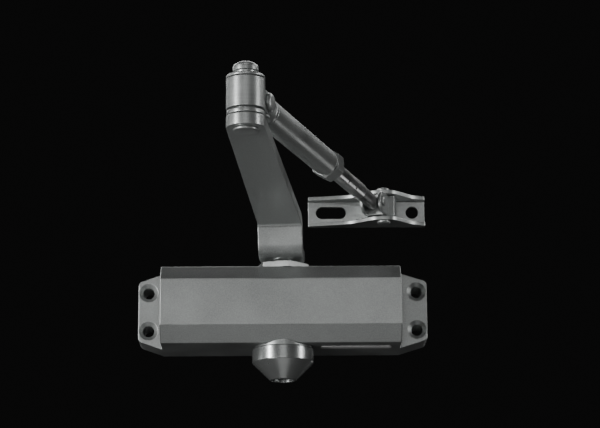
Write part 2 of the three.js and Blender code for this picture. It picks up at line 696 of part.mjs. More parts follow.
// Side view of the strip: root plate, crank and straight reach.
function armSide() {
  const half = ARM_THICKNESS / 2;
  const inner = ARM_BEND_RADIUS - half;
  const outer = ARM_BEND_RADIUS + half;
  const sin = Math.sin(ARM_BEND_ANGLE);
  const cos = Math.cos(ARM_BEND_ANGLE);
  const lowCentre = [ARM_BEND_START, ARM_ROOT_BOTTOM + outer];
  const highCentreZ = ARM_BOTTOM - inner;
  const rise = highCentreZ - lowCentre[1] + 2 * ARM_BEND_RADIUS * cos;
  const run = 2 * ARM_BEND_RADIUS * sin + rise * cos / sin;
  const highCentre = [ARM_BEND_START + run, highCentreZ];
  const end = ARM_LENGTH + ARM_END_RADIUS + 1;
  const shape = new THREE.Shape();
  shape.moveTo(-ARM_ROOT_RADIUS - 1, ARM_ROOT_BOTTOM);
  shape.absarc(...lowCentre, outer, -Math.PI / 2, -Math.PI / 2 + ARM_BEND_ANGLE, false);
  shape.absarc(...highCentre, inner, Math.PI / 2 + ARM_BEND_ANGLE, Math.PI / 2, true);
  shape.lineTo(end, ARM_BOTTOM);
  shape.lineTo(end, ARM_BOTTOM + ARM_THICKNESS);
  shape.absarc(...highCentre, outer, Math.PI / 2, Math.PI / 2 + ARM_BEND_ANGLE, false);
  shape.absarc(...lowCentre, inner, -Math.PI / 2 + ARM_BEND_ANGLE, -Math.PI / 2, true);
  shape.lineTo(-ARM_ROOT_RADIUS - 1, ARM_ROOT_BOTTOM + ARM_THICKNESS);
  return shape;
}

// Top view of the strip, reach along +X.
function armPlan() {
  const shape = new THREE.Shape();
  const lean = Math.asin((ARM_ROOT_HALF_WIDTH - ARM_END_RADIUS) / (ARM_LENGTH - ARM_WAIST));
  const up = Math.PI / 2 - lean;
  shape.absarc(0, 0, ARM_ROOT_RADIUS, Math.PI / 2, -Math.PI / 2, false);
  shape.lineTo(ARM_WAIST, -ARM_ROOT_HALF_WIDTH);
  shape.absarc(ARM_LENGTH, 0, ARM_END_RADIUS, -up, up, false);
  shape.lineTo(ARM_WAIST, ARM_ROOT_HALF_WIDTH);
  return shape;
}

function mainArm() {
  const low = ARM_ROOT_BOTTOM - CUT_PAST;
  const side = plate(armSide(), -ARM_STRIP_HALF, ARM_STRIP_HALF, 8).rotateX(Math.PI / 2);
  const plan = plate(armPlan(), low, ARM_BOTTOM + ARM_THICKNESS + CUT_PAST, 10);
  const half = SPINDLE_SQUARE / 2 + FIT_CLEARANCE;
  const socket = block(-half, half, -half, half, low, ARM_ROOT_BOTTOM + ARM_THICKNESS + CUT_PAST);
  socket.rotateZ(Math.PI / 2 - ARM_TURN);
  const holeEnd = ARM_BOTTOM + ARM_THICKNESS + CUT_PAST;
  const pinHole = at(rod(PIN_RADIUS + RUNNING_GAP, ARM_BOTTOM - CUT_PAST, holeEnd, 32), ARM_LENGTH, 0, 0);
  const strip = cut(solid(side).intersect(solid(plan)), solid(socket), solid(pinHole));
  return geometryOf(strip).rotateZ(-Math.PI / 2);
}
add(turnedArm, 'main_arm', mainArm(), satinSteel());

const washerLow = SPINDLE_TOP + ARM_WASHER.low;
const washerHigh = SPINDLE_TOP + ARM_WASHER.high;
add(armSet, 'arm_washer', ring(ARM_WASHER.inner, ARM_WASHER.outer, washerLow, washerHigh, 32), zincPlate());

function armScrew() {
  const screw = ARM_SCREW;
  const bottom = SPINDLE_TOP + screw.gap;
  const head = solid(turned([
    [0, bottom], [screw.radius, bottom], [screw.radius, bottom + screw.side],
    [screw.crown, bottom + screw.shoulder], [0, bottom + screw.top],
  ], 32));
  const shank = solid(rod(screw.shank, SPINDLE_TAPPING_FLOOR + 2, bottom + 0.5, 24));
  const floor = bottom + screw.socketFloor;
  const socket = solid(hexPrism(screw.socketFlats, floor, bottom + screw.top + CUT_PAST));
  return geometryOf(cut(join(head, shank), socket));
}
add(armSet, 'arm_screw', armScrew(), zincPlate());

// ---------------------------------------------------------------------------
// Elbow pin, ring and washer, carried by the main arm
// ---------------------------------------------------------------------------
const elbowOnArm = new THREE.Group();
elbowOnArm.position.set(0, -ARM_LENGTH, 0);
turnedArm.add(elbowOnArm);

function elbowPin() {
  const button = ELBOW_BUTTON;
  const head = PIN_HEAD;
  const low = ARM_BOTTOM - head.bottom;
  const neckStart = TOP_WASHER.top + RUNNING_GAP;
  return turned([
    [0, low], [PIN_HEAD_RADIUS - head.chamfer, low], [PIN_HEAD_RADIUS, ARM_BOTTOM - head.edge],
    [PIN_HEAD_RADIUS, ARM_BOTTOM - RUNNING_GAP], [PIN_RADIUS, ARM_BOTTOM - RUNNING_GAP],
    [PIN_RADIUS, neckStart], [button.neck, neckStart], [button.neck, button.bottom],
    [button.radius - 0.3, button.bottom], [button.radius, button.bottom + 0.3],
    [button.radius, button.side], [button.radius - 0.7, button.side + 1.15],
    [button.radius - 2, button.side + 2], [button.radius - 3.6, button.top - 0.1], [0, button.top],
  ]);
}
add(elbowOnArm, 'elbow_pin', elbowPin(), satinSteel());

const pinHoleRadius = PIN_RADIUS + RUNNING_GAP;

function elbowRing() {
  const { radius, bottom, top } = ELBOW_RING;
  return turned([
    [pinHoleRadius, bottom], [radius - RING_CHAMFER, bottom], [radius, bottom + RING_CHAMFER],
    [radius, top - RING_CHAMFER], [radius - RING_CHAMFER, top], [pinHoleRadius, top],
    [pinHoleRadius, bottom],
  ]);
}
add(elbowOnArm, 'elbow_ring', elbowRing(), satinSteel());

function elbowTopWasher() {
  const { radius, bottom, top } = TOP_WASHER;
  return turned([
    [pinHoleRadius, bottom], [radius, bottom], [radius, top - RING_CHAMFER],
    [radius - RING_CHAMFER, top], [pinHoleRadius, top], [pinHoleRadius, bottom],
  ]);
}
add(elbowOnArm, 'elbow_top_washer', elbowTopWasher(), satinSteel());

// ---------------------------------------------------------------------------
// Forearm, made along +Y from the elbow axis and turned with its group
// ---------------------------------------------------------------------------
const link = new THREE.Group();
link.position.set(
  ARM_LENGTH * Math.sin(ARM_TURN), SPINDLE_Y - ARM_LENGTH * Math.cos(ARM_TURN), LINK_Z,
);
link.rotation.set(0, 0, LINK_TURN);
root.add(link);

function crossHole(radius, y) {
  return solid(at(alongX(rod(radius, -CROSS_CUT, CROSS_CUT, 24)), 0, y, 0));
}

// A flat ear in the YZ plane between two X offsets, round at one end.
function ear(near, far, from, to, radius) {
  const shape = new THREE.Shape();
  const forward = to > from;
  shape.moveTo(from, -radius);
  if (forward) shape.absarc(to, 0, radius, -Math.PI / 2, Math.PI / 2, false);
  else shape.absarc(to, 0, radius, -Math.PI / 2, Math.PI / 2, true);
  shape.lineTo(from, radius);
  const turn = new THREE.Matrix4().makeBasis(
    new THREE.Vector3(0, 1, 0), new THREE.Vector3(0, 0, 1), new THREE.Vector3(1, 0, 0),
  );
  return solid(plate(shape, near, far, 10).applyMatrix4(turn));
}

function elbowSleeve() {
  const s = SLEEVE;
  const hub = at(rod(s.hub, s.hubBottom, s.bottom + 0.5), 0, 0, -LINK_Z);
  const barrel = at(turned([
    [0, s.bottom], [s.radius - s.chamfer, s.bottom], [s.radius, s.bottom + s.chamfer],
    [s.radius, s.top - s.chamfer], [s.radius - s.chamfer, s.top], [0, s.top],
  ]), 0, 0, -LINK_Z);
  const ears = [-1, 1].map((side) => {
    const edges = [side * ELBOW_EAR.inner, side * ELBOW_EAR.outer].sort((a, b) => a - b);
    return ear(edges[0], edges[1], ELBOW_EAR.root, ELBOW_CROSS, ELBOW_EAR.radius);
  });
  const bore = solid(rod(pinHoleRadius, -CROSS_CUT, CROSS_CUT));
  const rivetHole = crossHole(ELBOW_RIVET.radius + RUNNING_GAP, ELBOW_CROSS);
  return geometryOf(cut(join(solid(barrel), solid(hub), ...ears), bore, rivetHole));
}
add(link, 'elbow_sleeve', elbowSleeve(), satinSteel());

function elbowRivet() {
  const r = ELBOW_RIVET;
  const seat = ELBOW_EAR.outer + r.gap;
  const edge = seat + r.side;
  const outer = seat + r.headThickness;
  return alongX(turned([
    [0, -outer], [r.crown, -outer], [r.headRadius, -edge], [r.headRadius, -seat],
    [r.radius, -seat], [r.radius, seat], [r.headRadius, seat], [r.headRadius, edge],
    [r.crown, outer], [0, outer],
  ], 32));
}
add(link, 'elbow_rivet', elbowRivet(), satinSteel()).position.set(0, ELBOW_CROSS, 0);

function forearmFitting() {
  const f = FITTING;
  const disc = TUBE_START - RUNNING_GAP;
  const stem = TUBE_BORE - RUNNING_GAP;
  const tongue = ear(-TONGUE.half, TONGUE.half, TONGUE.root, ELBOW_CROSS, TONGUE.radius);
  const plug = solid(alongY(turned([
    [0, f.back], [f.backRadius, f.back], [TUBE_RADIUS, f.cone], [TUBE_RADIUS, disc], [stem, disc],
    [stem, f.end], [0, f.end],
  ])));
  return geometryOf(cut(join(tongue, plug), crossHole(ELBOW_RIVET.radius + RUNNING_GAP, ELBOW_CROSS)));
}
add(link, 'forearm_fitting', forearmFitting(), satinSteel());

add(link, 'forearm_tube', alongY(turned([
  [TUBE_BORE, TUBE_START], [TUBE_RADIUS, TUBE_START], [TUBE_RADIUS, TUBE_END],
  [TUBE_BORE, TUBE_END], [TUBE_BORE, TUBE_START],
])), satinSteel());

function adjusterNut() {
  const reach = NUT_FLATS / Math.sqrt(3);
  const flat = NUT_FLATS / 2;
  const hex = solid(hexPrism(NUT_FLATS, NUT_START, NUT_END, Math.PI / 2));
  const crown = solid(turned([
    [0, NUT_START], [flat, NUT_START], [reach + 0.1, NUT_START + NUT_CHAMFER],
    [reach + 0.1, NUT_END - NUT_CHAMFER], [flat, NUT_END], [0, NUT_END],
  ]));
  const stem = solid(rod(TUBE_BORE - RUNNING_GAP, NUT_STEM_START, NUT_START + 0.5));
  const bore = solid(rod(ROD_RADIUS + FIT_CLEARANCE, NUT_STEM_START - CUT_PAST, NUT_END + CUT_PAST));
  return alongY(geometryOf(cut(join(hex.intersect(crown), stem), bore)));
}
add(link, 'adjuster_nut', adjusterNut(), satinSteel());

function adjustingRod() {
  const bar = solid(alongY(turned([
    [0, ROD_START], [ROD_RADIUS - ROD_CHAMFER, ROD_START], [ROD_RADIUS, ROD_START + ROD_CHAMFER],
    [ROD_RADIUS, ROD_END - ROD_CHAMFER], [ROD_RADIUS - ROD_CHAMFER, ROD_END], [0, ROD_END],
  ], 40)));
  const socket = solid(alongY(rod(ROD_SOCKET.radius, ROD_SOCKET.start, ROD_END + CUT_PAST, 24)));
  const dimples = ROD_DIMPLES.map((y) => {
    const pit = alongX(turned(ROD_DIMPLE, 16));
    return solid(at(pit.rotateY(ROD_DIMPLE_TURN), 0, y, 0));
  });
  return geometryOf(cut(bar, socket, ...dimples));
}
add(link, 'adjusting_rod', adjustingRod(), chrome());

function rodEye() {
  const stem = EYE_STEM;
  const shoulder = ROD_END + stem.gap;
  const profile = [
    [0, stem.start], [stem.radius, stem.start], [stem.radius, shoulder], [EYE_RADIUS, shoulder],
  ];
  for (let k = 0; k <= EYE_NOSE_STEPS; k += 1) {
    const angle = k / EYE_NOSE_STEPS * Math.PI / 2;
    profile.push([EYE_RADIUS * Math.cos(angle), LINK_CROSS + EYE_RADIUS * Math.sin(angle)]);
  }
  profile[profile.length - 1][0] = 0;
  const bar = solid(alongY(turned(profile, 32)));
  return geometryOf(cut(bar, crossHole(CLEVIS_PIN_RADIUS + RUNNING_GAP, LINK_CROSS)));
}
add(link, 'rod_eye', rodEye(), darkSteel());

// ---------------------------------------------------------------------------
// Swivel block: two ears on a web that turns on the bracket's pivot rivet
// ---------------------------------------------------------------------------
function swivelBlock() {
  const c = CLEVIS;
  const h = c.halfHeight;
  const left = ear(-c.outer, -c.inner, CLEVIS_WEB_START + 1, LINK_CROSS + c.halfHeight - c.nose, h);
  const right = ear(c.inner, c.outer, CLEVIS_WEB_START + 1, LINK_CROSS + c.halfHeight - c.nose, h);
  const web = solid(block(-c.outer, c.outer, CLEVIS_WEB_START, CLEVIS_END, -h, h));
  const shoulder = solid(block(c.outer - 1, CLEVIS_SHOULDER_SIDE, CLEVIS_SHOULDER_START, CLEVIS_END, -h, h));
  const pivotHole = rod(PIVOT_RADIUS + RUNNING_GAP, -CROSS_CUT, CROSS_CUT, 32);
  const pivot = solid(at(pivotHole, PIVOT_SIDE, LINK_CROSS + PIVOT_ALONG, 0));
  return geometryOf(cut(
    join(left, right, web, shoulder), pivot, crossHole(CLEVIS_PIN_RADIUS + RUNNING_GAP, LINK_CROSS),
  ));
}
add(link, 'swivel_block', swivelBlock(), zincPlate());

function swivelPin() {
  const head = CLEVIS_PIN_HEAD;
  return alongX(turned([
    [0, -head.end], [head.crown, -head.end], [head.radius, -head.edge], [head.radius, -head.seat],
    [CLEVIS_PIN_RADIUS, -head.seat], [CLEVIS_PIN_RADIUS, head.seat], [head.radius, head.seat],
    [head.radius, head.edge], [head.crown, head.end], [0, head.end],
  ], 24));
}
add(link, 'swivel_pin', swivelPin(), zincPlate()).position.set(0, LINK_CROSS, 0);

// ---------------------------------------------------------------------------
// Bracket for the door frame and its pivot rivet
// ---------------------------------------------------------------------------
const along = new THREE.Vector3(-Math.sin(LINK_TURN), Math.cos(LINK_TURN), 0);
const side = new THREE.Vector3(Math.cos(LINK_TURN), Math.sin(LINK_TURN), 0);
const pivotPoint = link.position.clone()
  .addScaledVector(along, LINK_CROSS + PIVOT_ALONG)
  .addScaledVector(side, PIVOT_SIDE);

function bracket() {
  const b = BRACKET;
  const back = solid(block(b.left, b.right, -b.sheet, 0, LINK_Z - b.halfHeight, LINK_Z + b.halfHeight));
  const edge = new THREE.SplineCurve(FLANGE_EDGE.map(([x, y]) => new THREE.Vector2(x, y)));
  const outline = [[b.right, -0.5], [b.left, -0.5]];
  for (const point of edge.getPoints(FLANGE_STEPS)) outline.push([point.x, point.y]);
  const flange = polygon(outline);
  const top = solid(plate(flange, LINK_Z + b.halfHeight - b.sheet, LINK_Z + b.halfHeight));
  const bottom = solid(plate(flange, LINK_Z - b.halfHeight, LINK_Z - b.halfHeight + b.sheet));
  const slotHalf = BRACKET_SLOT.length / 2 - BRACKET_SLOT.radius;
  const slot = new THREE.Shape();
  slot.absarc(BRACKET_SLOT.x + slotHalf, 0, BRACKET_SLOT.radius, -Math.PI / 2, Math.PI / 2, false);
  slot.absarc(BRACKET_SLOT.x - slotHalf, 0, BRACKET_SLOT.radius, Math.PI / 2, Math.PI * 1.5, false);
  const slotTool = solid(at(plate(slot, -CUT_PAST, BRACKET_CUT).rotateX(Math.PI / 2), 0, 0, LINK_Z));
  const hole = rod(BRACKET_HOLE.radius, -CUT_PAST, BRACKET_CUT, 32).rotateX(Math.PI / 2);
  const holeTool = solid(at(hole, BRACKET_HOLE.x, 0, LINK_Z));
  const pivotHole = rod(PIVOT_RADIUS + RUNNING_GAP, -CROSS_CUT, CROSS_CUT, 32);
  const pivot = solid(at(pivotHole, pivotPoint.x, pivotPoint.y, LINK_Z));
  return geometryOf(cut(join(back, top, bottom), slotTool, holeTool, pivot));
}
add(root, 'bracket', bracket(), zincPlate());

function pivotRivet() {
  const head = PIVOT_HEAD;
  const seat = BRACKET.halfHeight + head.gap;
  const edge = seat + head.edge;
  const end = seat + head.height;
  return turned([
    [0, -end], [head.crown, -end], [head.radius, -edge], [head.radius, -seat],
    [PIVOT_RADIUS, -seat], [PIVOT_RADIUS, seat], [head.radius, seat], [head.radius, edge],
    [head.crown, end], [0, end],
  ], 32);
}
add(root, 'pivot_rivet', pivotRivet(), zincPlate()).position.copy(pivotPoint);

export default root;
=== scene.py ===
# %% [markdown]
# # A surface-mounted door closer
# A closer is a die-cast casing with a strong spring and a rack inside, a spindle that the
# rack turns, and a folding arm that ties the spindle to the door frame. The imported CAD
# model gives every place and size. Here each piece that shows gets a finer surface with
# rounded edges, and each finish gets a node material of its own.

# %% Load the frame
import json
import math

import bpy
from mathutils import Matrix, Vector


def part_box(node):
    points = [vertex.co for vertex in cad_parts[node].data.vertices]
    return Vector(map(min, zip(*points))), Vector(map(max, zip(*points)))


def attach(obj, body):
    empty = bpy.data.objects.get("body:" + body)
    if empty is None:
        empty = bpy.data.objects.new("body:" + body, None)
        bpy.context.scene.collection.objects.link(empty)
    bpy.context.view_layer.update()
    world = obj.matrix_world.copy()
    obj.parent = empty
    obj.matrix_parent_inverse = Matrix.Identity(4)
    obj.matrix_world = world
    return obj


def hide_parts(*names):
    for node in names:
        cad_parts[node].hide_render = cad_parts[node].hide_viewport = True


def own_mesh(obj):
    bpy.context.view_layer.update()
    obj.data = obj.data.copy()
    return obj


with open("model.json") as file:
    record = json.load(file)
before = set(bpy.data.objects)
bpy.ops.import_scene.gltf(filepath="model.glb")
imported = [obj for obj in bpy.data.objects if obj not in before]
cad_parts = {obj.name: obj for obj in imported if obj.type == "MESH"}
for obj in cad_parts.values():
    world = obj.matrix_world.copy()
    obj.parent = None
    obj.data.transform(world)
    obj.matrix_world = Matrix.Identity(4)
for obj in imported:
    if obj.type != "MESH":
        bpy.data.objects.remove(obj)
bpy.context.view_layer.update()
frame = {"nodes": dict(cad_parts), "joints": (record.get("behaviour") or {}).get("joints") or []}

# %% [markdown]
# The axes of the joints say where the spindle, the elbow and the forearm lie, so every
# turned piece can be made upright at the origin, as on a lathe, and then put in its place.
# Lengths below are in millimetres, because that is how hardware is drawn, and `MM` turns
# them into Blender's metres.

# %% Named places
MM = 0.001
joints = {joint["name"]: joint for joint in frame["joints"]}
spindle = Vector(joints["spindle_turn"]["pos_m"])
elbow = Vector(joints["elbow_turn"]["pos_m"])
link_direction = Vector(joints["rod_adjust"]["axis"])
pivot = Vector(joints["shoe_turn"]["pos_m"])

reach = elbow - spindle
arm_turn = math.atan2(reach.x, -reach.y)
arm_length = reach.xy.length / MM
link_turn = math.atan2(-link_direction.x, link_direction.y)
rivet_along = (Vector(joints["forearm_tilt"]["pos_m"]) - elbow).dot(link_direction) / MM
clevis_along = (Vector(joints["swivel_tilt"]["pos_m"]) - elbow).dot(link_direction) / MM

SPINDLE_PLACE = Matrix.Translation((spindle.x, spindle.y, 0))
ARM_PLACE = SPINDLE_PLACE @ Matrix.Rotation(arm_turn, 4, "Z")
ELBOW_PLACE = Matrix.Translation((elbow.x, elbow.y, 0))
LINK_PLACE = Matrix.Translation(elbow) @ Matrix.Rotation(link_turn, 4, "Z")
LIE_ALONG_Y = Matrix.Rotation(-math.pi / 2, 4, "X")
LIE_ALONG_X = Matrix.Rotation(math.pi / 2, 4, "Y")
print("arm length in mm:", round(arm_length, 2), "turned", round(math.degrees(arm_turn), 2), "degrees")

# %% [markdown]
# ## Bench tools
# An operator works on whatever is selected, so each tool first clears the selection and
# takes up one piece only.

# %% Picking up one piece
def take(piece):
    """Leaves edit mode and selects this piece alone."""
    if bpy.context.mode != "OBJECT":
        bpy.ops.object.mode_set(mode="OBJECT")
    bpy.ops.object.select_all(action="DESELECT")
    piece.select_set(True)
    bpy.context.view_layer.objects.active = piece
    return piece


def clear_bench():
    if bpy.context.mode != "OBJECT":
        bpy.ops.object.mode_set(mode="OBJECT")
    bpy.ops.object.select_all(action="DESELECT")


def settle(piece, place):
    """Puts the piece in its place and moves that place into its mesh."""
    take(piece)
    piece.matrix_world = place
    bpy.ops.object.transform_apply(location=True, rotation=True, scale=True)
    return piece


# %% [markdown]
# A flat outline starts as a filled circle with as many corners as the outline has. Its
# corners are moved to their places and the face is extruded, as when tracing a drawing.

# %% Outlines and prisms
def outline_face(name, points, fill="NGON"):
    clear_bench()
    bpy.ops.mesh.primitive_circle_add(vertices=len(points), radius=1, fill_type=fill)
    piece = bpy.context.object
    piece.name = name
    for corner, point in zip(piece.data.vertices, points):
        corner.co = Vector(point) * MM
    return piece


def prism(name, points, low, high):
    """An outline in X and Y, raised from one height to another."""
    piece = outline_face(name, [(x, y, low) for x, y in points])
    bpy.ops.object.mode_set(mode="EDIT")
    bpy.ops.mesh.select_all(action="SELECT")
    bpy.ops.mesh.extrude_region_move(TRANSFORM_OT_translate={"value": (0, 0, (high - low) * MM)})
    return outward(piece)


def outward(piece):
    """Merges doubles, removes what is loose and turns all faces outwards."""
    take(piece)
    bpy.ops.object.mode_set(mode="EDIT")
    bpy.ops.mesh.select_mode(type="VERT")
    bpy.ops.mesh.select_all(action="SELECT")
    bpy.ops.mesh.remove_doubles(threshold=0.002 * MM)
    bpy.ops.mesh.delete_loose(use_verts=True, use_edges=True, use_faces=False)
    bpy.ops.mesh.select_all(action="SELECT")
    bpy.ops.mesh.normals_make_consistent(inside=False)
    bpy.ops.object.mode_set(mode="OBJECT")
    return piece


def block(name, low, high):
    """A box between two corners."""
    outline = [(low[0], low[1]), (high[0], low[1]), (high[0], high[1]), (low[0], high[1])]
    return prism(name, outline, low[2], high[2])


def hexagon(flats, turn=0):
    corner = flats / math.sqrt(3)
    angles = [turn + k * math.pi / 3 for k in range(6)]
    return [(corner * math.cos(angle), corner * math.sin(angle)) for angle in angles]


def arc(centre, radius, start, end, steps):
    """Points on a round stretch, angles in degrees."""
    angles = [math.radians(start + (end - start) * k / steps) for k in range(steps + 1)]
    return [(centre[0] + radius * math.cos(a), centre[1] + radius * math.sin(a)) for a in angles]


# %% [markdown]
# A turned piece is half of its section spun round the Z axis. The section is drawn as
# pairs of radius and height, from one end round to the other.

# %% The lathe
LATHE_STEPS = 96


def turned(name, section, steps=LATHE_STEPS):
    piece = outline_face(name, [(radius, 0, height) for radius, height in section], fill="NOTHING")
    bpy.ops.object.mode_set(mode="EDIT")
    bpy.ops.mesh.select_all(action="SELECT")
    bpy.ops.mesh.spin(steps=steps, angle=2 * math.pi, center=(0, 0, 0), axis=(0, 0, 1))
    return outward(piece)


def bar(name, radius, low, high, steps=LATHE_STEPS):
    return turned(name, [(0, low), (radius, low), (radius, high), (0, high)], steps)


def flat_ring(name, inner, outer, low, high):
    return turned(name, [(inner, low), (outer, low), (outer, high), (inner, high)])


def both_ways(half):
    """A section that is the same above and below, from its upper half."""
    return [*[(radius, -height) for radius, height in reversed(half)], *half]


# %% [markdown]
# Real edges are never sharp: a thin bevel catches the light along each one. Weighted
# normals keep the flat faces flat beside it.

# %% Edges and holes
def apply_modifier(piece, kind, **settings):
    take(piece)
    modifier = piece.modifiers.new(kind.lower(), kind)
    for key, value in settings.items():
        setattr(modifier, key, value)
    bpy.ops.object.modifier_apply(modifier=modifier.name)
    return piece


def break_edges(piece, width, segments=3, sharper_than=28):
    """Rounds every edge that turns by more than so many degrees."""
    return apply_modifier(
        piece, "BEVEL", width=width * MM, segments=segments, limit_method="ANGLE",
        angle_limit=math.radians(sharper_than), use_clamp_overlap=True,
    )


def combine(piece, other, operation):
    apply_modifier(piece, "BOOLEAN", object=other, operation=operation, solver="EXACT")
    bpy.data.objects.remove(other)
    return piece


def cut(piece, *tools):
    for tool in tools:
        combine(piece, tool, "DIFFERENCE")
    return piece


def weld(piece, *others):
    for other in others:
        combine(piece, other, "UNION")
    return piece


def smooth(piece, sharp_angle=32):
    take(piece)
    bpy.ops.object.shade_smooth_by_angle(angle=math.radians(sharp_angle))
    return apply_modifier(piece, "WEIGHTED_NORMAL", keep_sharp=True, weight=80)


# %% [markdown]
# Each finished piece rides on its CAD body, stands for its CAD node, and takes one finish.

# %% Handing a piece over
made = []


def hand_over(piece, node, body, finish):
    smooth(piece)
    piece.data.materials.clear()
    piece.data.materials.append(finish)
    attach(piece, body)
    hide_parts(node)
    made.append(piece)
    low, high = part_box(node)
    grown = max(
        max(abs(vertex.co[axis] - min(max(vertex.co[axis], low[axis]), high[axis])) for axis in range(3))
        for vertex in piece.data.vertices
    )
    faces = len(piece.data.polygons)
    print(f"{piece.name}: {faces} faces, {grown / MM:.2f} mm outside its CAD node")
    return piece


# %% [markdown]
# ## Finishes
# Every finish is a principled shader fed by a few shared effects. An effect is a node
# group, built once, that puts out a mask or a height and never a shader.

# %% Building a group
def new_group(name, scale, outputs=("Mask", "Height")):
    """A group that takes in a vector and a scale and puts out plain numbers."""
    group = bpy.data.node_groups.new(name, "ShaderNodeTree")
    group.interface.new_socket(name="Vector", in_out="INPUT", socket_type="NodeSocketVector")
    socket = group.interface.new_socket(name="Scale", in_out="INPUT", socket_type="NodeSocketFloat")
    socket.default_value = scale
    for socket_name in outputs:
        group.interface.new_socket(name=socket_name, in_out="OUTPUT", socket_type="NodeSocketFloat")
    entry = group.nodes.new("NodeGroupInput")
    leave = group.nodes.new("NodeGroupOutput")
    return group, entry, leave


def add_noise(group, entry, vector, detail):
    noise = group.nodes.new("ShaderNodeTexNoise")
    noise.inputs["Detail"].default_value = detail
    group.links.new(vector, noise.inputs["Vector"])
    group.links.new(entry.outputs["Scale"], noise.inputs["Scale"])
    return noise


def spread(tree, source, low, high):
    """Stretches the middle of a noise to the whole range from 0 to 1."""
    node = tree.nodes.new("ShaderNodeMapRange")
    node.inputs["From Min"].default_value = low
    node.inputs["From Max"].default_value = high
    tree.links.new(source, node.inputs["Value"])
    return node.outputs["Result"]


def calculate(tree, operation, first, second):
    node = tree.nodes.new("ShaderNodeMath")
    node.operation = operation
    for socket, value in zip(node.inputs, (first, second)):
        if isinstance(value, (int, float)):
            socket.default_value = value
        else:
            tree.links.new(value, socket)
    return node.outputs["Value"]


# %% [markdown]
# Metallic paint is a fine mottle of flakes under lacquer. A small noise gives the mottle
# and the cells of a Voronoi pattern give single bright flakes.

# %% Flake group
def build_flakes():
    group, entry, leave = new_group("flakes", 2000.0)
    noise = add_noise(group, entry, entry.outputs["Vector"], 2.0)
    cells = group.nodes.new("ShaderNodeTexVoronoi")
    group.links.new(entry.outputs["Vector"], cells.inputs["Vector"])
    finer = calculate(group, "MULTIPLY", entry.outputs["Scale"], 1.4)
    group.links.new(finer, cells.inputs["Scale"])
    split = group.nodes.new("ShaderNodeSeparateColor")
    group.links.new(cells.outputs["Color"], split.inputs["Color"])
    single = spread(group, split.outputs["Red"], 0.86, 1.0)
    mottle = spread(group, noise.outputs["Fac"], 0.3, 0.7)
    raised = calculate(group, "MULTIPLY", single, 0.55)
    group.links.new(calculate(group, "ADD", mottle, raised), leave.inputs["Mask"])
    group.links.new(noise.outputs["Fac"], leave.inputs["Height"])
    return group


flakes = build_flakes()
print("group:", flakes.name)

# %% [markdown]
# Bar and strip that was drawn or linished has long fine lines. The pattern is a noise
# squeezed along one direction, so a piece only has to be turned to lie along X first.

# %% Grain group
def build_grain():
    group, entry, leave = new_group("drawn_grain", 1500.0)
    stretch = group.nodes.new("ShaderNodeVectorMath")
    stretch.operation = "MULTIPLY"
    stretch.inputs[1].default_value = (0.03, 1.0, 1.0)
    group.links.new(entry.outputs["Vector"], stretch.inputs[0])
    noise = add_noise(group, entry, stretch.outputs["Vector"], 3.0)
    group.links.new(spread(group, noise.outputs["Fac"], 0.3, 0.7), leave.inputs["Mask"])
    group.links.new(noise.outputs["Fac"], leave.inputs["Height"])
    return group


grain = build_grain()
print("group:", grain.name)

# %% [markdown]
# A turned piece keeps fine rings round its axis. Only the distance from the axis and the
# height along it go into the noise, so each ring is the same all the way round.

# %% Turning mark group
def build_rings():
    group, entry, leave = new_group("turning_marks", 3000.0)
    parts = group.nodes.new("ShaderNodeSeparateXYZ")
    group.links.new(entry.outputs["Vector"], parts.inputs["Vector"])
    square_x = calculate(group, "POWER", parts.outputs["X"], 2.0)
    square_y = calculate(group, "POWER", parts.outputs["Y"], 2.0)
    distance = calculate(group, "SQRT", calculate(group, "ADD", square_x, square_y), 0.0)
    joined = group.nodes.new("ShaderNodeCombineXYZ")
    group.links.new(distance, joined.inputs["X"])
    group.links.new(parts.outputs["Z"], joined.inputs["Y"])
    noise = add_noise(group, entry, joined.outputs["Vector"], 2.0)
    group.links.new(spread(group, noise.outputs["Fac"], 0.3, 0.7), leave.inputs["Mask"])
    group.links.new(noise.outputs["Fac"], leave.inputs["Height"])
    return group


rings = build_rings()
print("group:", rings.name)

# %% [markdown]
# Hands, oil and plating baths leave soft clouds a centimetre or two across. They change
# the gloss more than the colour.

# %% Cloud group
def build_clouds():
    group, entry, leave = new_group("soft_clouds", 60.0, outputs=("Mask",))
    noise = add_noise(group, entry, entry.outputs["Vector"], 4.0)
    noise.inputs["Roughness"].default_value = 0.6
    group.links.new(spread(group, noise.outputs["Fac"], 0.32, 0.68), leave.inputs["Mask"])
    return group


clouds = build_clouds()
print("group:", clouds.name)

# %% [markdown]
# A finish mixes two near tones by the fine pattern, varies its gloss by the clouds, and
# lets the fine pattern stand a few thousandths of a millimetre proud.

# %% Mixing a finish
def grey(value, tint=(1.0, 1.0, 1.0)):
    return (value * tint[0], value * tint[1], value * tint[2], 1.0)


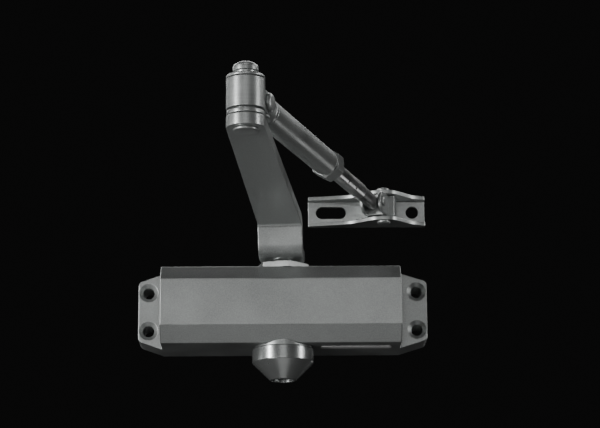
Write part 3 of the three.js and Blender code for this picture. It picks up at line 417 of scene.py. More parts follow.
def finish(name, dark, light, metallic, gloss, pattern, scale, height, place=Matrix(), cloud_share=0.35):
    """gloss is the lowest and highest roughness; place centres the pattern on a turned piece."""
    material = bpy.data.materials.new(name)
    material.use_nodes = True
    tree = material.node_tree
    shader = tree.nodes["Principled BSDF"]
    shader.inputs["Metallic"].default_value = metallic
    coordinates = tree.nodes.new("ShaderNodeTexCoord")
    mapping = tree.nodes.new("ShaderNodeMapping")
    back = place.inverted()
    mapping.inputs["Location"].default_value = back.to_translation()
    mapping.inputs["Rotation"].default_value = back.to_euler()
    tree.links.new(coordinates.outputs["Object"], mapping.inputs["Vector"])
    fine = tree.nodes.new("ShaderNodeGroup")
    fine.node_tree = pattern
    fine.inputs["Scale"].default_value = scale
    soft = tree.nodes.new("ShaderNodeGroup")
    soft.node_tree = clouds
    for node in (fine, soft):
        tree.links.new(mapping.outputs["Vector"], node.inputs["Vector"])
    fine_part = calculate(tree, "MULTIPLY", fine.outputs["Mask"], 1.0 - cloud_share)
    soft_part = calculate(tree, "MULTIPLY", soft.outputs["Mask"], cloud_share)
    mixed = calculate(tree, "ADD", fine_part, soft_part)
    tones = tree.nodes.new("ShaderNodeMix")
    tones.data_type = "RGBA"
    tones.inputs["A"].default_value = dark
    tones.inputs["B"].default_value = light
    tree.links.new(mixed, tones.inputs["Factor"])
    tree.links.new(tones.outputs["Result"], shader.inputs["Base Color"])
    rough = tree.nodes.new("ShaderNodeMapRange")
    rough.inputs["To Min"].default_value = gloss[0]
    rough.inputs["To Max"].default_value = gloss[1]
    tree.links.new(soft.outputs["Mask"], rough.inputs["Value"])
    tree.links.new(rough.outputs["Result"], shader.inputs["Roughness"])
    bump = tree.nodes.new("ShaderNodeBump")
    bump.inputs["Strength"].default_value = 0.5
    bump.inputs["Distance"].default_value = height * MM
    tree.links.new(fine.outputs["Height"], bump.inputs["Height"])
    tree.links.new(bump.outputs["Normal"], shader.inputs["Normal"])
    return material


# %% [markdown]
# The finishes of this closer: silver paint on the casting, a satin silver lacquer on the
# arm and elbow, bright zinc on the bracket and glands, polished plate on the rod.

# %% The finishes
COOL = (0.965, 1.0, 0.985)


def silver_paint():
    return finish(
        "silver_paint", grey(0.26, COOL), grey(0.40, COOL), 0.85, (0.38, 0.46), flakes, 2100.0, 0.008,
    )


def satin_silver(name, pattern=flakes, scale=1700.0, place=Matrix()):
    return finish(
        name, grey(0.31, COOL), grey(0.46, COOL), 0.80, (0.30, 0.42), pattern, scale, 0.006, place,
    )


def turned_lacquer(name, place):
    """Satin silver with fine rings round the piece's own axis."""
    return satin_silver(name, rings, 2200.0, place)


def bright_zinc(name, pattern=flakes, scale=900.0, place=Matrix()):
    return finish(
        name, grey(0.36, COOL), grey(0.50, COOL), 0.92, (0.32, 0.42), pattern, scale, 0.004, place, 0.6,
    )


def turned_zinc(name, place):
    """Bright zinc with fine rings round the piece's own axis."""
    return bright_zinc(name, rings, 2400.0, place)


def polished_plate(name, place):
    return finish(name, grey(0.62), grey(0.72), 1.0, (0.27, 0.33), rings, 2500.0, 0.002, place)


def plain_steel(name, place=Matrix(), pattern=rings):
    return finish(name, grey(0.13), grey(0.22), 0.95, (0.30, 0.44), pattern, 2200.0, 0.006, place)


def silver_plastic(name, place):
    return finish(
        name, grey(0.32, COOL), grey(0.40, COOL), 0.85, (0.22, 0.29), rings, 1400.0, 0.004, place, 0.3,
    )


def turned_brass(name, place):
    dark = (0.42, 0.29, 0.10, 1.0)
    light = (0.62, 0.45, 0.17, 1.0)
    return finish(name, dark, light, 1.0, (0.22, 0.36), rings, 2600.0, 0.004, place)


def black_rubber(name):
    return finish(name, grey(0.010), grey(0.025), 0.0, (0.55, 0.75), flakes, 1500.0, 0.012)


def oiled_wire(name, place):
    return finish(name, grey(0.16), grey(0.26), 1.0, (0.20, 0.32), grain, 2500.0, 0.003, place)


def label_film(name):
    return finish(name, grey(0.52), grey(0.60), 0.25, (0.30, 0.36), grain, 1200.0, 0.002)


print("finishes ready")

# %% [markdown]
# ## Casing
# The casing is one die casting: a bar with two long bevels on its front, and a lug at each
# end for two screws. A cube is scaled, its front edges are bevelled, and it is bisected at
# the lugs' depth so that they can be extruded from its ends. Edges are rounded before any
# hole is cut, because a bevel runs best on plain long edges.

# %% Choosing edges and faces
def choose(piece, kind, test):
    """Selects edges or faces by their middle, in mm, and opens edit mode."""
    take(piece)
    mesh = piece.data
    for part in (mesh.vertices, mesh.edges, mesh.polygons):
        part.foreach_set("select", [False] * len(part))
    if kind == "EDGE":
        bpy.context.tool_settings.mesh_select_mode = (False, True, False)
        for edge in mesh.edges:
            ends = [mesh.vertices[index].co for index in edge.vertices]
            edge.select = test((ends[0] + ends[1]) / 2 / MM)
    else:
        bpy.context.tool_settings.mesh_select_mode = (False, False, True)
        for face in mesh.polygons:
            face.select = test(face.center / MM)
    bpy.ops.object.mode_set(mode="EDIT")


# %% Casing blank
BODY_LEFT = -59.2
BODY_RIGHT = 57.4
BODY_HALF_HEIGHT = 19
BODY_DEPTH = 42
FRONT_BEVEL = 7.7
LUG_DEPTH = 18
LUG_REACH = 71.1
LUG_END_HALF_HEIGHT = 14.7
LUG_CORNER_ROUND = 1.9
CAST_EDGE_ROUND = 0.5


def casing_blank():
    clear_bench()
    bpy.ops.mesh.primitive_cube_add(size=1)
    piece = bpy.context.object
    piece.name = "casing"
    size = ((BODY_RIGHT - BODY_LEFT) * MM, BODY_DEPTH * MM, 2 * BODY_HALF_HEIGHT * MM, 1)
    middle = Matrix.Translation(((BODY_LEFT + BODY_RIGHT) / 2 * MM, -BODY_DEPTH / 2 * MM, 0))
    settle(piece, middle @ Matrix.Diagonal(size))
    choose(piece, "EDGE", lambda middle: middle.y < 0.5 - BODY_DEPTH and abs(middle.x) < 1)
    bpy.ops.mesh.bevel(offset=FRONT_BEVEL * MM, offset_type="OFFSET", segments=1, affect="EDGES")
    bpy.ops.mesh.select_all(action="SELECT")
    bpy.ops.mesh.bisect(plane_co=(0, -LUG_DEPTH * MM, 0), plane_no=(0, 1, 0))
    for end, start in ((-1, -BODY_LEFT), (1, BODY_RIGHT)):
        choose(piece, "FACE", lambda middle: middle.x * end > start - 1 and middle.y > -LUG_DEPTH)
        out = (end * (LUG_REACH - start) * MM, 0, 0)
        bpy.ops.mesh.extrude_region_move(TRANSFORM_OT_translate={"value": out})
        taper = LUG_END_HALF_HEIGHT / BODY_HALF_HEIGHT
        bpy.ops.transform.resize(value=(1, 1, taper), center_override=(0, 0, 0))
    corner = LUG_END_HALF_HEIGHT - 0.5
    choose(piece, "EDGE", lambda middle: abs(middle.x) > LUG_REACH - 0.5 and abs(middle.z) > corner)
    bpy.ops.mesh.bevel(offset=LUG_CORNER_ROUND * MM, segments=6, affect="EDGES")
    return break_edges(outward(piece), CAST_EDGE_ROUND)


casing = casing_blank()
print("casing blank:", len(casing.data.polygons), "faces")

# %% [markdown]
# The holes are cut by tools of their own shape, as a drill and a countersink would cut
# them. Each screw hole's tool has the countersink's cone and a tiny lip at its mouth.

# %% Holes in the casing
HOLE_X = 66
HOLE_Z = 9.5
HOLE_RADIUS = 2.8
COUNTERSINK_RADIUS = 4.7
COUNTERSINK_LIP = 0.15
BORE_RADIUS = 9.5
PLUG_SEAT_RADIUS = 10.8
PLUG_SEAT_DEPTH = 4
PAST_LEFT = BODY_LEFT - 1
PAST_RIGHT = BODY_RIGHT + 1
PINION_CHAMBER_RADIUS = 8
GLAND_HOLE_RADIUS = 10.6
GLAND_HOLE_FLOOR = 12.5
GLAND_HOLE_END = 25
VALVE_HOLE_RADIUS = 2.55
VALVE_HOLE_DEPTH = 13.5
BOSS_RADIUS = 14
BOSS_HEIGHT = 0.9
BOSS_ROOT = -12
bore_y = (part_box("right_end_plug")[0].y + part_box("right_end_plug")[1].y) / 2
BORE_PLACE = Matrix.Translation((0, bore_y, 0)) @ LIE_ALONG_X


def screw_hole(x, z):
    cone_start = LUG_DEPTH - (COUNTERSINK_RADIUS - HOLE_RADIUS)
    tool = turned("screw_hole", [
        (0, -1), (HOLE_RADIUS, -1), (HOLE_RADIUS, cone_start),
        (COUNTERSINK_RADIUS - COUNTERSINK_LIP, LUG_DEPTH - COUNTERSINK_LIP),
        (COUNTERSINK_RADIUS + COUNTERSINK_LIP, LUG_DEPTH + 0.01),
        (COUNTERSINK_RADIUS + COUNTERSINK_LIP, LUG_DEPTH + 1), (0, LUG_DEPTH + 1),
    ], steps=64)
    return settle(tool, Matrix.Translation((x * MM, 0, z * MM)) @ Matrix.Rotation(math.pi / 2, 4, "X"))


def casing_holes():
    tools = [screw_hole(x, z) for x in (-HOLE_X, HOLE_X) for z in (-HOLE_Z, HOLE_Z)]
    left_seat = BODY_LEFT + PLUG_SEAT_DEPTH
    right_seat = BODY_RIGHT - PLUG_SEAT_DEPTH
    tools.append(settle(turned("bore", [
        (0, PAST_LEFT), (PLUG_SEAT_RADIUS, PAST_LEFT), (PLUG_SEAT_RADIUS, left_seat),
        (BORE_RADIUS, left_seat), (BORE_RADIUS, right_seat),
        (PLUG_SEAT_RADIUS, right_seat), (PLUG_SEAT_RADIUS, PAST_RIGHT), (0, PAST_RIGHT),
    ]), BORE_PLACE))
    tools.append(settle(turned("spindle_hole", [
        (0, -GLAND_HOLE_END), (GLAND_HOLE_RADIUS, -GLAND_HOLE_END),
        (GLAND_HOLE_RADIUS, -GLAND_HOLE_FLOOR), (PINION_CHAMBER_RADIUS, -GLAND_HOLE_FLOOR),
        (PINION_CHAMBER_RADIUS, GLAND_HOLE_FLOOR), (GLAND_HOLE_RADIUS, GLAND_HOLE_FLOOR),
        (GLAND_HOLE_RADIUS, GLAND_HOLE_END), (0, GLAND_HOLE_END),
    ]), SPINDLE_PLACE))
    valve_floor = BODY_RIGHT - VALVE_HOLE_DEPTH
    for name in ("closing_speed_turn", "latching_speed_turn"):
        place = Matrix.Translation((0, *joints[name]["pos_m"][1:])) @ LIE_ALONG_X
        valve_hole = bar("valve_hole", VALVE_HOLE_RADIUS, valve_floor, PAST_RIGHT, steps=48)
        tools.append(settle(valve_hole, place))
    return tools


boss = bar("boss", BOSS_RADIUS, -BODY_HALF_HEIGHT - BOSS_HEIGHT, BOSS_ROOT)
weld(casing, settle(break_edges(boss, 0.25), SPINDLE_PLACE))
cut(casing, *casing_holes())
hand_over(casing, "closer_body", "housing", silver_paint())

# %% [markdown]
# ## End plugs and adjusting screws
# Each end of the bore is closed by a turned plug with a hexagon socket. The right-hand end
# also has two small slotted screws, which throttle the oil. A plug is turned, its edges
# are broken, and the socket is cut last so that its corners stay crisp.

# %% End plugs
# The plug's faces are measured inwards from the casing's end face.
PLUG_FACE = 0.3
PLUG_STEP = 3.9
PLUG_GROOVE = (5.4, 7.2)
PLUG_END = 8.5
PLUG_RADIUS = 9.4
PLUG_FLANGE_RADIUS = 10.65
PLUG_GROOVE_RADIUS = 7.7
SOCKET_FLATS = 8
SOCKET_DEPTH = 3.2


def end_plug(name, place):
    groove_near, groove_far = PLUG_GROOVE
    piece = turned(name, [
        (0, -PLUG_END), (PLUG_RADIUS, -PLUG_END), (PLUG_RADIUS, -groove_far),
        (PLUG_GROOVE_RADIUS, -groove_far), (PLUG_GROOVE_RADIUS, -groove_near),
        (PLUG_RADIUS, -groove_near), (PLUG_RADIUS, -PLUG_STEP), (PLUG_FLANGE_RADIUS, -PLUG_STEP),
        (PLUG_FLANGE_RADIUS, -PLUG_FACE), (0, -PLUG_FACE),
    ])
    break_edges(piece, 0.4)
    cut(piece, prism("socket", hexagon(SOCKET_FLATS, math.pi / 6), -SOCKET_DEPTH, 1))
    return settle(piece, place)


for side, end, turn in (("right", BODY_RIGHT, 0), ("left", BODY_LEFT, math.pi)):
    place = Matrix.Translation((end * MM, bore_y, 0)) @ Matrix.Rotation(turn, 4, "Z") @ LIE_ALONG_X
    plug = end_plug(f"{side}_plug", place)
    plug_finish = satin_silver(f"{side}_plug_finish", rings, 2500.0, place)
    hand_over(plug, f"{side}_end_plug", "housing", plug_finish)

# %% Adjusting screws
SCREW_FACE = 0.4
SCREW_END = 12
SCREW_CONE = 2.5
SCREW_RADIUS = 2.45
SCREW_TIP_RADIUS = 1.4
SCREW_SLOT_HALF = 0.4
SCREW_SLOT_FLOOR = 1.8


def speed_screw(name, place):
    piece = turned(name, [
        (0, -SCREW_END), (SCREW_TIP_RADIUS, -SCREW_END), (SCREW_RADIUS, -SCREW_END + SCREW_CONE),
        (SCREW_RADIUS, -SCREW_FACE), (0, -SCREW_FACE),
    ], steps=48)
    break_edges(piece, 0.3)
    cut(piece, block("screw_slot", (-3, -SCREW_SLOT_HALF, -SCREW_SLOT_FLOOR), (3, SCREW_SLOT_HALF, 0.5)))
    return settle(piece, place)


for speed in ("closing", "latching"):
    across, up = joints[f"{speed}_speed_turn"]["pos_m"][1:]
    place = Matrix.Translation((BODY_RIGHT * MM, across, up)) @ LIE_ALONG_X
    screw = speed_screw(f"{speed}_screw_fine", place)
    screw_brass = turned_brass(f"{speed}_screw_brass", place)
    hand_over(screw, f"{speed}_speed_screw", f"{speed}_screw", screw_brass)

# %% [markdown]
# The closing spring is one round of wire swept up a screw line. It lies between the piston
# and the right-hand plug. In the closer it flattens towards the plug as the piston comes along;
# here it is made at one length.

# %% Closing spring
SPRING_RADIUS = 7.9
SPRING_WIRE = 0.9
SPRING_TURNS = 8
SPRING_START = 14.3
SPRING_END = 47.7


def spring_coil(place):
    clear_bench()
    bpy.ops.mesh.primitive_circle_add(
        vertices=16, radius=SPRING_WIRE * MM, location=(0, SPRING_RADIUS * MM, SPRING_START * MM),
        rotation=(0, math.pi / 2, 0),
    )
    piece = bpy.context.object
    piece.name = "spring_wire"
    bpy.ops.object.transform_apply(location=True, rotation=True, scale=True)
    pitch = (SPRING_END - SPRING_START) / SPRING_TURNS * MM
    apply_modifier(piece, "SCREW", screw_offset=pitch, iterations=SPRING_TURNS, steps=40)
    take(piece)
    bpy.ops.object.mode_set(mode="EDIT")
    bpy.ops.mesh.select_all(action="SELECT")
    bpy.ops.mesh.fill_holes(sides=16)
    bpy.ops.object.mode_set(mode="OBJECT")
    return settle(outward(piece), place)


spring = spring_coil(BORE_PLACE)
hand_over(spring, "closing_spring", "housing", oiled_wire("spring_wire", BORE_PLACE))
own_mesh(spring)

# %% [markdown]
# ## Glands and spindle
# A gland nut closes the casing round the spindle above and below. A hexagon bar is crossed
# with a turned cone, which leaves the curved chamfer that a real nut has on its corners.

# %% Gland nuts
GLAND_FLATS = 23.2
GLAND_TOP = 22
GLAND_TURN = math.radians(14 - 90)
GLAND_SEAT = BODY_HALF_HEIGHT + 0.05
GLAND_CHAMFER = 0.3
GLAND_STEM_RADIUS = 10.5
GLAND_STEM_END = 12.8
GLAND_POCKET_RADIUS = 8.8
GLAND_POCKET_TOP = 20.2
GLAND_BORE_RADIUS = 6.5
UPSIDE_DOWN = Matrix.Rotation(math.pi, 4, "X")
LOWER_SET = SPINDLE_PLACE @ Matrix.Translation((0, 0, -BOSS_HEIGHT * MM)) @ UPSIDE_DOWN


def gland_nut(name, place):
    corner = GLAND_FLATS / math.sqrt(3)
    piece = prism(name, hexagon(GLAND_FLATS, GLAND_TURN), GLAND_SEAT, GLAND_TOP)
    break_edges(piece, 0.25, segments=2)
    combine(piece, turned("chamfer", [
        (0, BODY_HALF_HEIGHT), (corner + 1, BODY_HALF_HEIGHT), (corner + 0.1, GLAND_TOP - GLAND_CHAMFER),
        (GLAND_FLATS / 2 - 0.2, GLAND_TOP), (0, GLAND_TOP),
    ]), "INTERSECT")
    weld(piece, bar("gland_stem", GLAND_STEM_RADIUS, GLAND_STEM_END, BODY_HALF_HEIGHT + 0.5))
    cut(piece, bar("gland_pocket", GLAND_POCKET_RADIUS, GLAND_STEM_END - 1, GLAND_POCKET_TOP))
    cut(piece, bar("gland_bore", GLAND_BORE_RADIUS, GLAND_STEM_END - 1, GLAND_TOP + 1))
    return settle(piece, place)


for level, place in (("upper", SPINDLE_PLACE), ("lower", LOWER_SET)):
    nut = gland_nut(f"{level}_gland", place)
    hand_over(nut, f"{level}_gland_nut", "housing", bright_zinc(f"{level}_gland_zinc"))

# %% [markdown]
# The spindle is one bar: journals, a pinion cut in its middle and a square at each end.
# Its parts are made apart and welded, because each comes from another kind of tool.

# %% Spindle
PINION_TEETH = 12
TOOTH_FLANK = [(4.85, 0.19), (6.0, 0.121), (6.9, 0.055)]
PINION_HALF = 6.3
JOURNAL_START = 6
JOURNAL_RADIUS = 6.4
JOURNAL_END = 22.2
NECK_RADIUS = 5.5
SQUARE_START = 24
SQUARE_HALF = 4
SPINDLE_BOTTOM = -28
SPINDLE_TOP = 29.2
TAPPING_RADIUS = 2.6
TAPPING_FLOOR = 14


def pinion_outline():
    points = []
    for tooth in range(PINION_TEETH):
        middle = -math.pi / 2 + 2 * math.pi / PINION_TEETH * (tooth + 0.5)
        corners = [(radius, middle - half) for radius, half in TOOTH_FLANK]
        corners += [(radius, middle + half) for radius, half in reversed(TOOTH_FLANK)]
        points += [(radius * math.cos(angle), radius * math.sin(angle)) for radius, angle in corners]
    return points


def spindle_bar():
    piece = prism("spindle", pinion_outline(), -PINION_HALF, PINION_HALF)
    for end in (-1, 1):
        weld(piece, turned("journal", [
            (0, JOURNAL_START * end), (JOURNAL_RADIUS, JOURNAL_START * end),
            (JOURNAL_RADIUS, JOURNAL_END * end), (NECK_RADIUS, SQUARE_START * end),
            (0, SQUARE_START * end),
        ]))
    low = (-SQUARE_HALF, -SQUARE_HALF, SPINDLE_BOTTOM)
    high = (SQUARE_HALF, SQUARE_HALF, SPINDLE_TOP)
    weld(piece, break_edges(block("square", low, high), 0.4))
    cut(piece, bar("tapping", TAPPING_RADIUS, TAPPING_FLOOR, SPINDLE_TOP + 1, steps=48))
    return settle(piece, SPINDLE_PLACE)


hand_over(spindle_bar(), "pinion_spindle", "arm", turned_zinc("spindle_zinc", SPINDLE_PLACE))

# %% [markdown]
# ## Spindle cover cap
# The free end of the spindle is hidden by a moulded cup: a short band, a cone and a
# recessed centre. The whole wall, inside and out, is one closed section, so one spin makes
# it, and the bevel then gives its rims the small light line that a moulding has.

# %% Cover cap
CAP_RADIUS = 15
CAP_INNER_RADIUS = 13.55
CAP_TOP = -20.1
CAP_EDGE = -26.6
CAP_INNER_EDGE = -25.6
CAP_BOTTOM = -35.3
CAP_BOTTOM_RADIUS = 6.3
HUB_RADIUS = 6.6
HUB_FOOT = -32.2
HUB_ROOF = -28.6
RECESS_FLOOR = -29.8
RECESS_RADIUS = 5.1
RECESS_MOUTH_RADIUS = 5.5


def cover_cap():
    piece = turned("cover_cap", [
        (CAP_INNER_RADIUS, CAP_TOP), (CAP_INNER_RADIUS, CAP_INNER_EDGE), (HUB_RADIUS, HUB_FOOT),
        (HUB_RADIUS, HUB_ROOF), (0, HUB_ROOF), (0, RECESS_FLOOR), (RECESS_RADIUS, RECESS_FLOOR),
        (RECESS_MOUTH_RADIUS, CAP_BOTTOM), (CAP_BOTTOM_RADIUS, CAP_BOTTOM), (CAP_RADIUS, CAP_EDGE),
        (CAP_RADIUS, CAP_TOP),
    ], steps=128)
    break_edges(piece, 0.35, sharper_than=25)
    return settle(piece, SPINDLE_PLACE)


hand_over(
    cover_cap(), "spindle_cover_cap", "housing",
    silver_plastic("cap_plastic", SPINDLE_PLACE),
)

# %% [markdown]
# The rating label on the underside is left blank. It is a thin film with round corners.

# %% Label
LABEL_CORNER = 0.9


def rounded_rectangle(low, high, radius, steps=6):
    points = arc((high[0] - radius, low[1] + radius), radius, -90, 0, steps)
    points += arc((high[0] - radius, high[1] - radius), radius, 0, 90, steps)
    points += arc((low[0] + radius, high[1] - radius), radius, 90, 180, steps)
    points += arc((low[0] + radius, low[1] + radius), radius, 180, 270, steps)
    return points


low, high = [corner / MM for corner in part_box("blank_label")]
label_outline = rounded_rectangle(low.xy, high.xy, LABEL_CORNER)
label = outward(prism("label", label_outline, low.z, high.z))
break_edges(label, 0.05, segments=2)
hand_over(label, "blank_label", "housing", label_film("label_film"))

# %% [markdown]
# ## Main arm
# The arm is a pressed strip: a root plate on the spindle's square, a crank that lifts it,
# and a long straight reach that narrows to the elbow. Its side view and its plan are drawn
# as two prisms, and what they share is the arm. That keeps both outlines exact.

# %% Main arm
ARM_THICKNESS = 5
ARM_ROOT_BOTTOM = 24.2
ARM_BOTTOM = 39.5
ARM_ROOT_RADIUS = 11
ARM_ROOT_HALF_WIDTH = 10.75
ARM_END_RADIUS = 8.15
ARM_WAIST = 20
BEND_RADIUS = 5
BEND_START = 6
BEND_DEGREES = 75
BEND_STEPS = 14
STRIP_HALF_WIDTH = 14
SQUARE_HOLE_HALF = 4.08
PIN_HOLE_RADIUS = 4.1


def arm_side():
    inner = BEND_RADIUS - ARM_THICKNESS / 2
    outer = BEND_RADIUS + ARM_THICKNESS / 2
    bend = math.radians(BEND_DEGREES)
    low = (BEND_START, ARM_ROOT_BOTTOM + outer)
    rise = ARM_BOTTOM - inner - low[1] + 2 * BEND_RADIUS * math.cos(bend)
    run = 2 * BEND_RADIUS * math.sin(bend) + rise / math.tan(bend)
    high = (BEND_START + run, ARM_BOTTOM - inner)
    end = arm_length + ARM_END_RADIUS + 1
    root_end = -ARM_ROOT_RADIUS - 1
    points = [(root_end, ARM_ROOT_BOTTOM)]
    points += arc(low, outer, -90, BEND_DEGREES - 90, BEND_STEPS)
    points += arc(high, inner, 90 + BEND_DEGREES, 90, BEND_STEPS)
    points += [(end, ARM_BOTTOM), (end, ARM_BOTTOM + ARM_THICKNESS)]
    points += arc(high, outer, 90, 90 + BEND_DEGREES, BEND_STEPS)
    points += arc(low, inner, BEND_DEGREES - 90, -90, BEND_STEPS)
    points.append((root_end, ARM_ROOT_BOTTOM + ARM_THICKNESS))
    return points


def arm_plan():
    lean = math.degrees(math.asin((ARM_ROOT_HALF_WIDTH - ARM_END_RADIUS) / (arm_length - ARM_WAIST)))
    points = arc((0, 0), ARM_ROOT_RADIUS, 90, 270, 40)
    points.append((ARM_WAIST, -ARM_ROOT_HALF_WIDTH))
    points += arc((arm_length, 0), ARM_END_RADIUS, lean - 90, 90 - lean, 40)
    points.append((ARM_WAIST, ARM_ROOT_HALF_WIDTH))
    return points


def arm_strip():
    piece = prism("arm_strip", arm_side(), -STRIP_HALF_WIDTH, STRIP_HALF_WIDTH)
    settle(piece, Matrix.Rotation(math.pi / 2, 4, "X"))
    above = ARM_BOTTOM + ARM_THICKNESS + 1
    combine(piece, prism("arm_plan", arm_plan(), ARM_ROOT_BOTTOM - 1, above), "INTERSECT")
    break_edges(piece, 0.4, sharper_than=40)
    half = SQUARE_HOLE_HALF
    square = block("square_hole", (-half, -half, 22), (half, half, 31))
    cut(piece, settle(square, Matrix.Rotation(math.pi / 2 - arm_turn, 4, "Z")))
    pin_hole = bar("pin_hole", PIN_HOLE_RADIUS, 38, 47)
    cut(piece, settle(pin_hole, Matrix.Translation((arm_length * MM, 0, 0))))
    return settle(piece, ARM_PLACE @ Matrix.Rotation(-math.pi / 2, 4, "Z"))


hand_over(arm_strip(), "main_arm", "arm", satin_silver("arm_lacquer"))

# %% [markdown]
# On top of the root a socket-head screw and a washer hold the arm down on its square.

# %% Arm screw and washer
washer = flat_ring("root_washer", 3.2, 5.8, 29.5, 30.7)
settle(break_edges(washer, 0.2), SPINDLE_PLACE)
hand_over(washer, "arm_washer", "arm", turned_zinc("washer_zinc", SPINDLE_PLACE))


def root_screw():
    piece = turned("root_screw", [
        (0, 16), (2.5, 16), (2.5, 30.8), (5, 30.8), (5, 34.1), (4.4, 34.6), (0, 34.6),
    ])
    break_edges(piece, 0.3)
    cut(piece, prism("screw_socket", hexagon(4), 32, 36))
    return settle(piece, SPINDLE_PLACE)


hand_over(root_screw(), "arm_screw", "arm", turned_zinc("screw_zinc", SPINDLE_PLACE))

# %% [markdown]
# ## Elbow
# The elbow is a pin through the arm's end with a low head below and a domed button above.
# A loose ring, a turning sleeve with two ears and a washer are stacked on it. All but the
# ears are turned. The dome is a quarter of an ellipse.

# %% Elbow pin
PIN_RADIUS = 4
DOME_STEPS = 10
BUTTON_RADIUS = 5.4
BUTTON_SIDE = 65.8
BUTTON_TOP = 68.4


def elbow_pin():
    dome = []
    for step in range(DOME_STEPS + 1):
        angle = math.pi / 2 * step / DOME_STEPS
        height = BUTTON_SIDE + (BUTTON_TOP - BUTTON_SIDE) * math.sin(angle)
        dome.append((BUTTON_RADIUS * math.cos(angle), height))
    dome[-1] = (0, BUTTON_TOP)
    low_head = [(0, 38.15), (4.6, 38.15), (5.3, 38.5), (5.3, 39.4)]
    shank = [(PIN_RADIUS, 39.4), (PIN_RADIUS, 62.2), (4.5, 62.2), (4.5, 64)]
    button_foot = [(BUTTON_RADIUS - 0.3, 64), (BUTTON_RADIUS, 64.3)]
    piece = turned("elbow_stud", [*low_head, *shank, *button_foot, *dome])
    break_edges(piece, 0.2)
    return settle(piece, ELBOW_PLACE)


hand_over(elbow_pin(), "elbow_pin", "arm", turned_lacquer("pin_lacquer", ELBOW_PLACE))

# %% Elbow ring and washer
ring = flat_ring("stacked_ring", PIN_HOLE_RADIUS, 7.95, 44.8, 46.8)
settle(break_edges(ring, 0.5, segments=4), ELBOW_PLACE)
hand_over(ring, "elbow_ring", "arm", turned_lacquer("ring_lacquer", ELBOW_PLACE))

washer = flat_ring("stacked_washer", PIN_HOLE_RADIUS, 8.15, 60.8, 62.1)
settle(break_edges(washer, 0.45), ELBOW_PLACE)
hand_over(washer, "elbow_top_washer", "arm", turned_lacquer("washer_lacquer", ELBOW_PLACE))

# %% [markdown]
# An ear is a flat tab with one round end. It is drawn as seen from the side, raised to its
# thickness, and stood up so that its thickness runs across the forearm.

# %% Ears
STAND_ACROSS = Matrix(((0, 0, 1, 0), (1, 0, 0, 0), (0, 1, 0, 0), (0, 0, 0, 1)))


def ear(name, near, far, start, end, radius, edge=0.3):
    """A tab from start to end along Y, round at its end, between two places across X."""
    points = [(start, -radius)]
    points += arc((end, 0), radius, -90, 90 if end > start else -270, 28)
    points.append((start, radius))
    piece = outward(prism(name, points, near, far))
    break_edges(piece, edge, sharper_than=40)
    return settle(piece, STAND_ACROSS)


# %% Elbow sleeve
SLEEVE_RADIUS = 8.1
SLEEVE_HUB_RADIUS = 6.2
SLEEVE_LEVELS = (46.95, 47.5, 60.5)
EAR_INNER = 3.6
EAR_OUTER = 5.5
EAR_ROOT = 5
EAR_RADIUS = 4.8
RIVET_HOLE_RADIUS = 2.0


def cross_hole(radius, along):
    hole = bar("cross_hole", radius, -12, 12, steps=48)
    return settle(hole, Matrix.Translation((0, along * MM, 0)) @ LIE_ALONG_X)


def elbow_sleeve():
    hub_low, low, high = [level - elbow.z / MM for level in SLEEVE_LEVELS]
    piece = turned("sleeve", [
        (0, hub_low), (SLEEVE_HUB_RADIUS, hub_low), (SLEEVE_HUB_RADIUS, low), (SLEEVE_RADIUS, low),
        (SLEEVE_RADIUS, high), (0, high),
    ])
    break_edges(piece, 0.35)
    left_ear = ear("left_ear", -EAR_OUTER, -EAR_INNER, EAR_ROOT, rivet_along, EAR_RADIUS)
    right_ear = ear("right_ear", EAR_INNER, EAR_OUTER, EAR_ROOT, rivet_along, EAR_RADIUS)
    weld(piece, left_ear, right_ear)
    cut(piece, bar("sleeve_bore", PIN_HOLE_RADIUS, -12, 12), cross_hole(RIVET_HOLE_RADIUS, rivet_along))
    return settle(piece, LINK_PLACE)


hand_over(
    elbow_sleeve(), "elbow_sleeve", "elbow", turned_lacquer("sleeve_lacquer", LINK_PLACE),
)

# %% [markdown]
# A headed rivet joins the ears and the forearm's tongue, so the forearm can tilt a little.

# %% Elbow rivet
RIVET_PLACE = LINK_PLACE @ Matrix.Translation((0, rivet_along * MM, 0)) @ LIE_ALONG_X


def elbow_rivet():
    half = [(1.9, 0), (1.9, 5.65), (4.1, 5.65), (4.1, 6.6), (3.2, 7.45), (0, 7.45)]
    piece = turned("rivet", both_ways(half))
    break_edges(piece, 0.25)
    return settle(piece, RIVET_PLACE)


hand_over(
    elbow_rivet(), "elbow_rivet", "elbow", turned_lacquer("rivet_lacquer", RIVET_PLACE),
)

# %% [markdown]
# ## Forearm
# The forearm is a tube with a tongued fitting at the elbow end and a hexagonal adjuster nut
# at the other. All three are turned or cut about the forearm's own axis.

# %% Forearm fitting and tube
TUBE_RADIUS = 6.15
TUBE_BORE = 5
TUBE_START = 24.6
TUBE_END = 106
STEM_RADIUS = 4.9
STEM_END = 36
TONGUE_HALF = 3.2
TONGUE_RADIUS = 4.2
TONGUE_ROOT = 22
ALONG_LINK = LINK_PLACE @ LIE_ALONG_Y


def forearm_fitting():
    collar = turned("fitting", [
        (0, 20.6), (4.4, 20.6), (TUBE_RADIUS, 22.4), (TUBE_RADIUS, TUBE_START - 0.1),
        (STEM_RADIUS, TUBE_START - 0.1), (STEM_RADIUS, STEM_END), (0, STEM_END),
    ])
    settle(break_edges(collar, 0.3), LIE_ALONG_Y)
    weld(collar, ear("tongue", -TONGUE_HALF, TONGUE_HALF, TONGUE_ROOT, rivet_along, TONGUE_RADIUS, edge=0.4))
    cut(collar, cross_hole(RIVET_HOLE_RADIUS, rivet_along))
    return settle(collar, LINK_PLACE)


hand_over(
    forearm_fitting(), "forearm_fitting", "forearm",
    turned_lacquer("fitting_lacquer", ALONG_LINK),
)

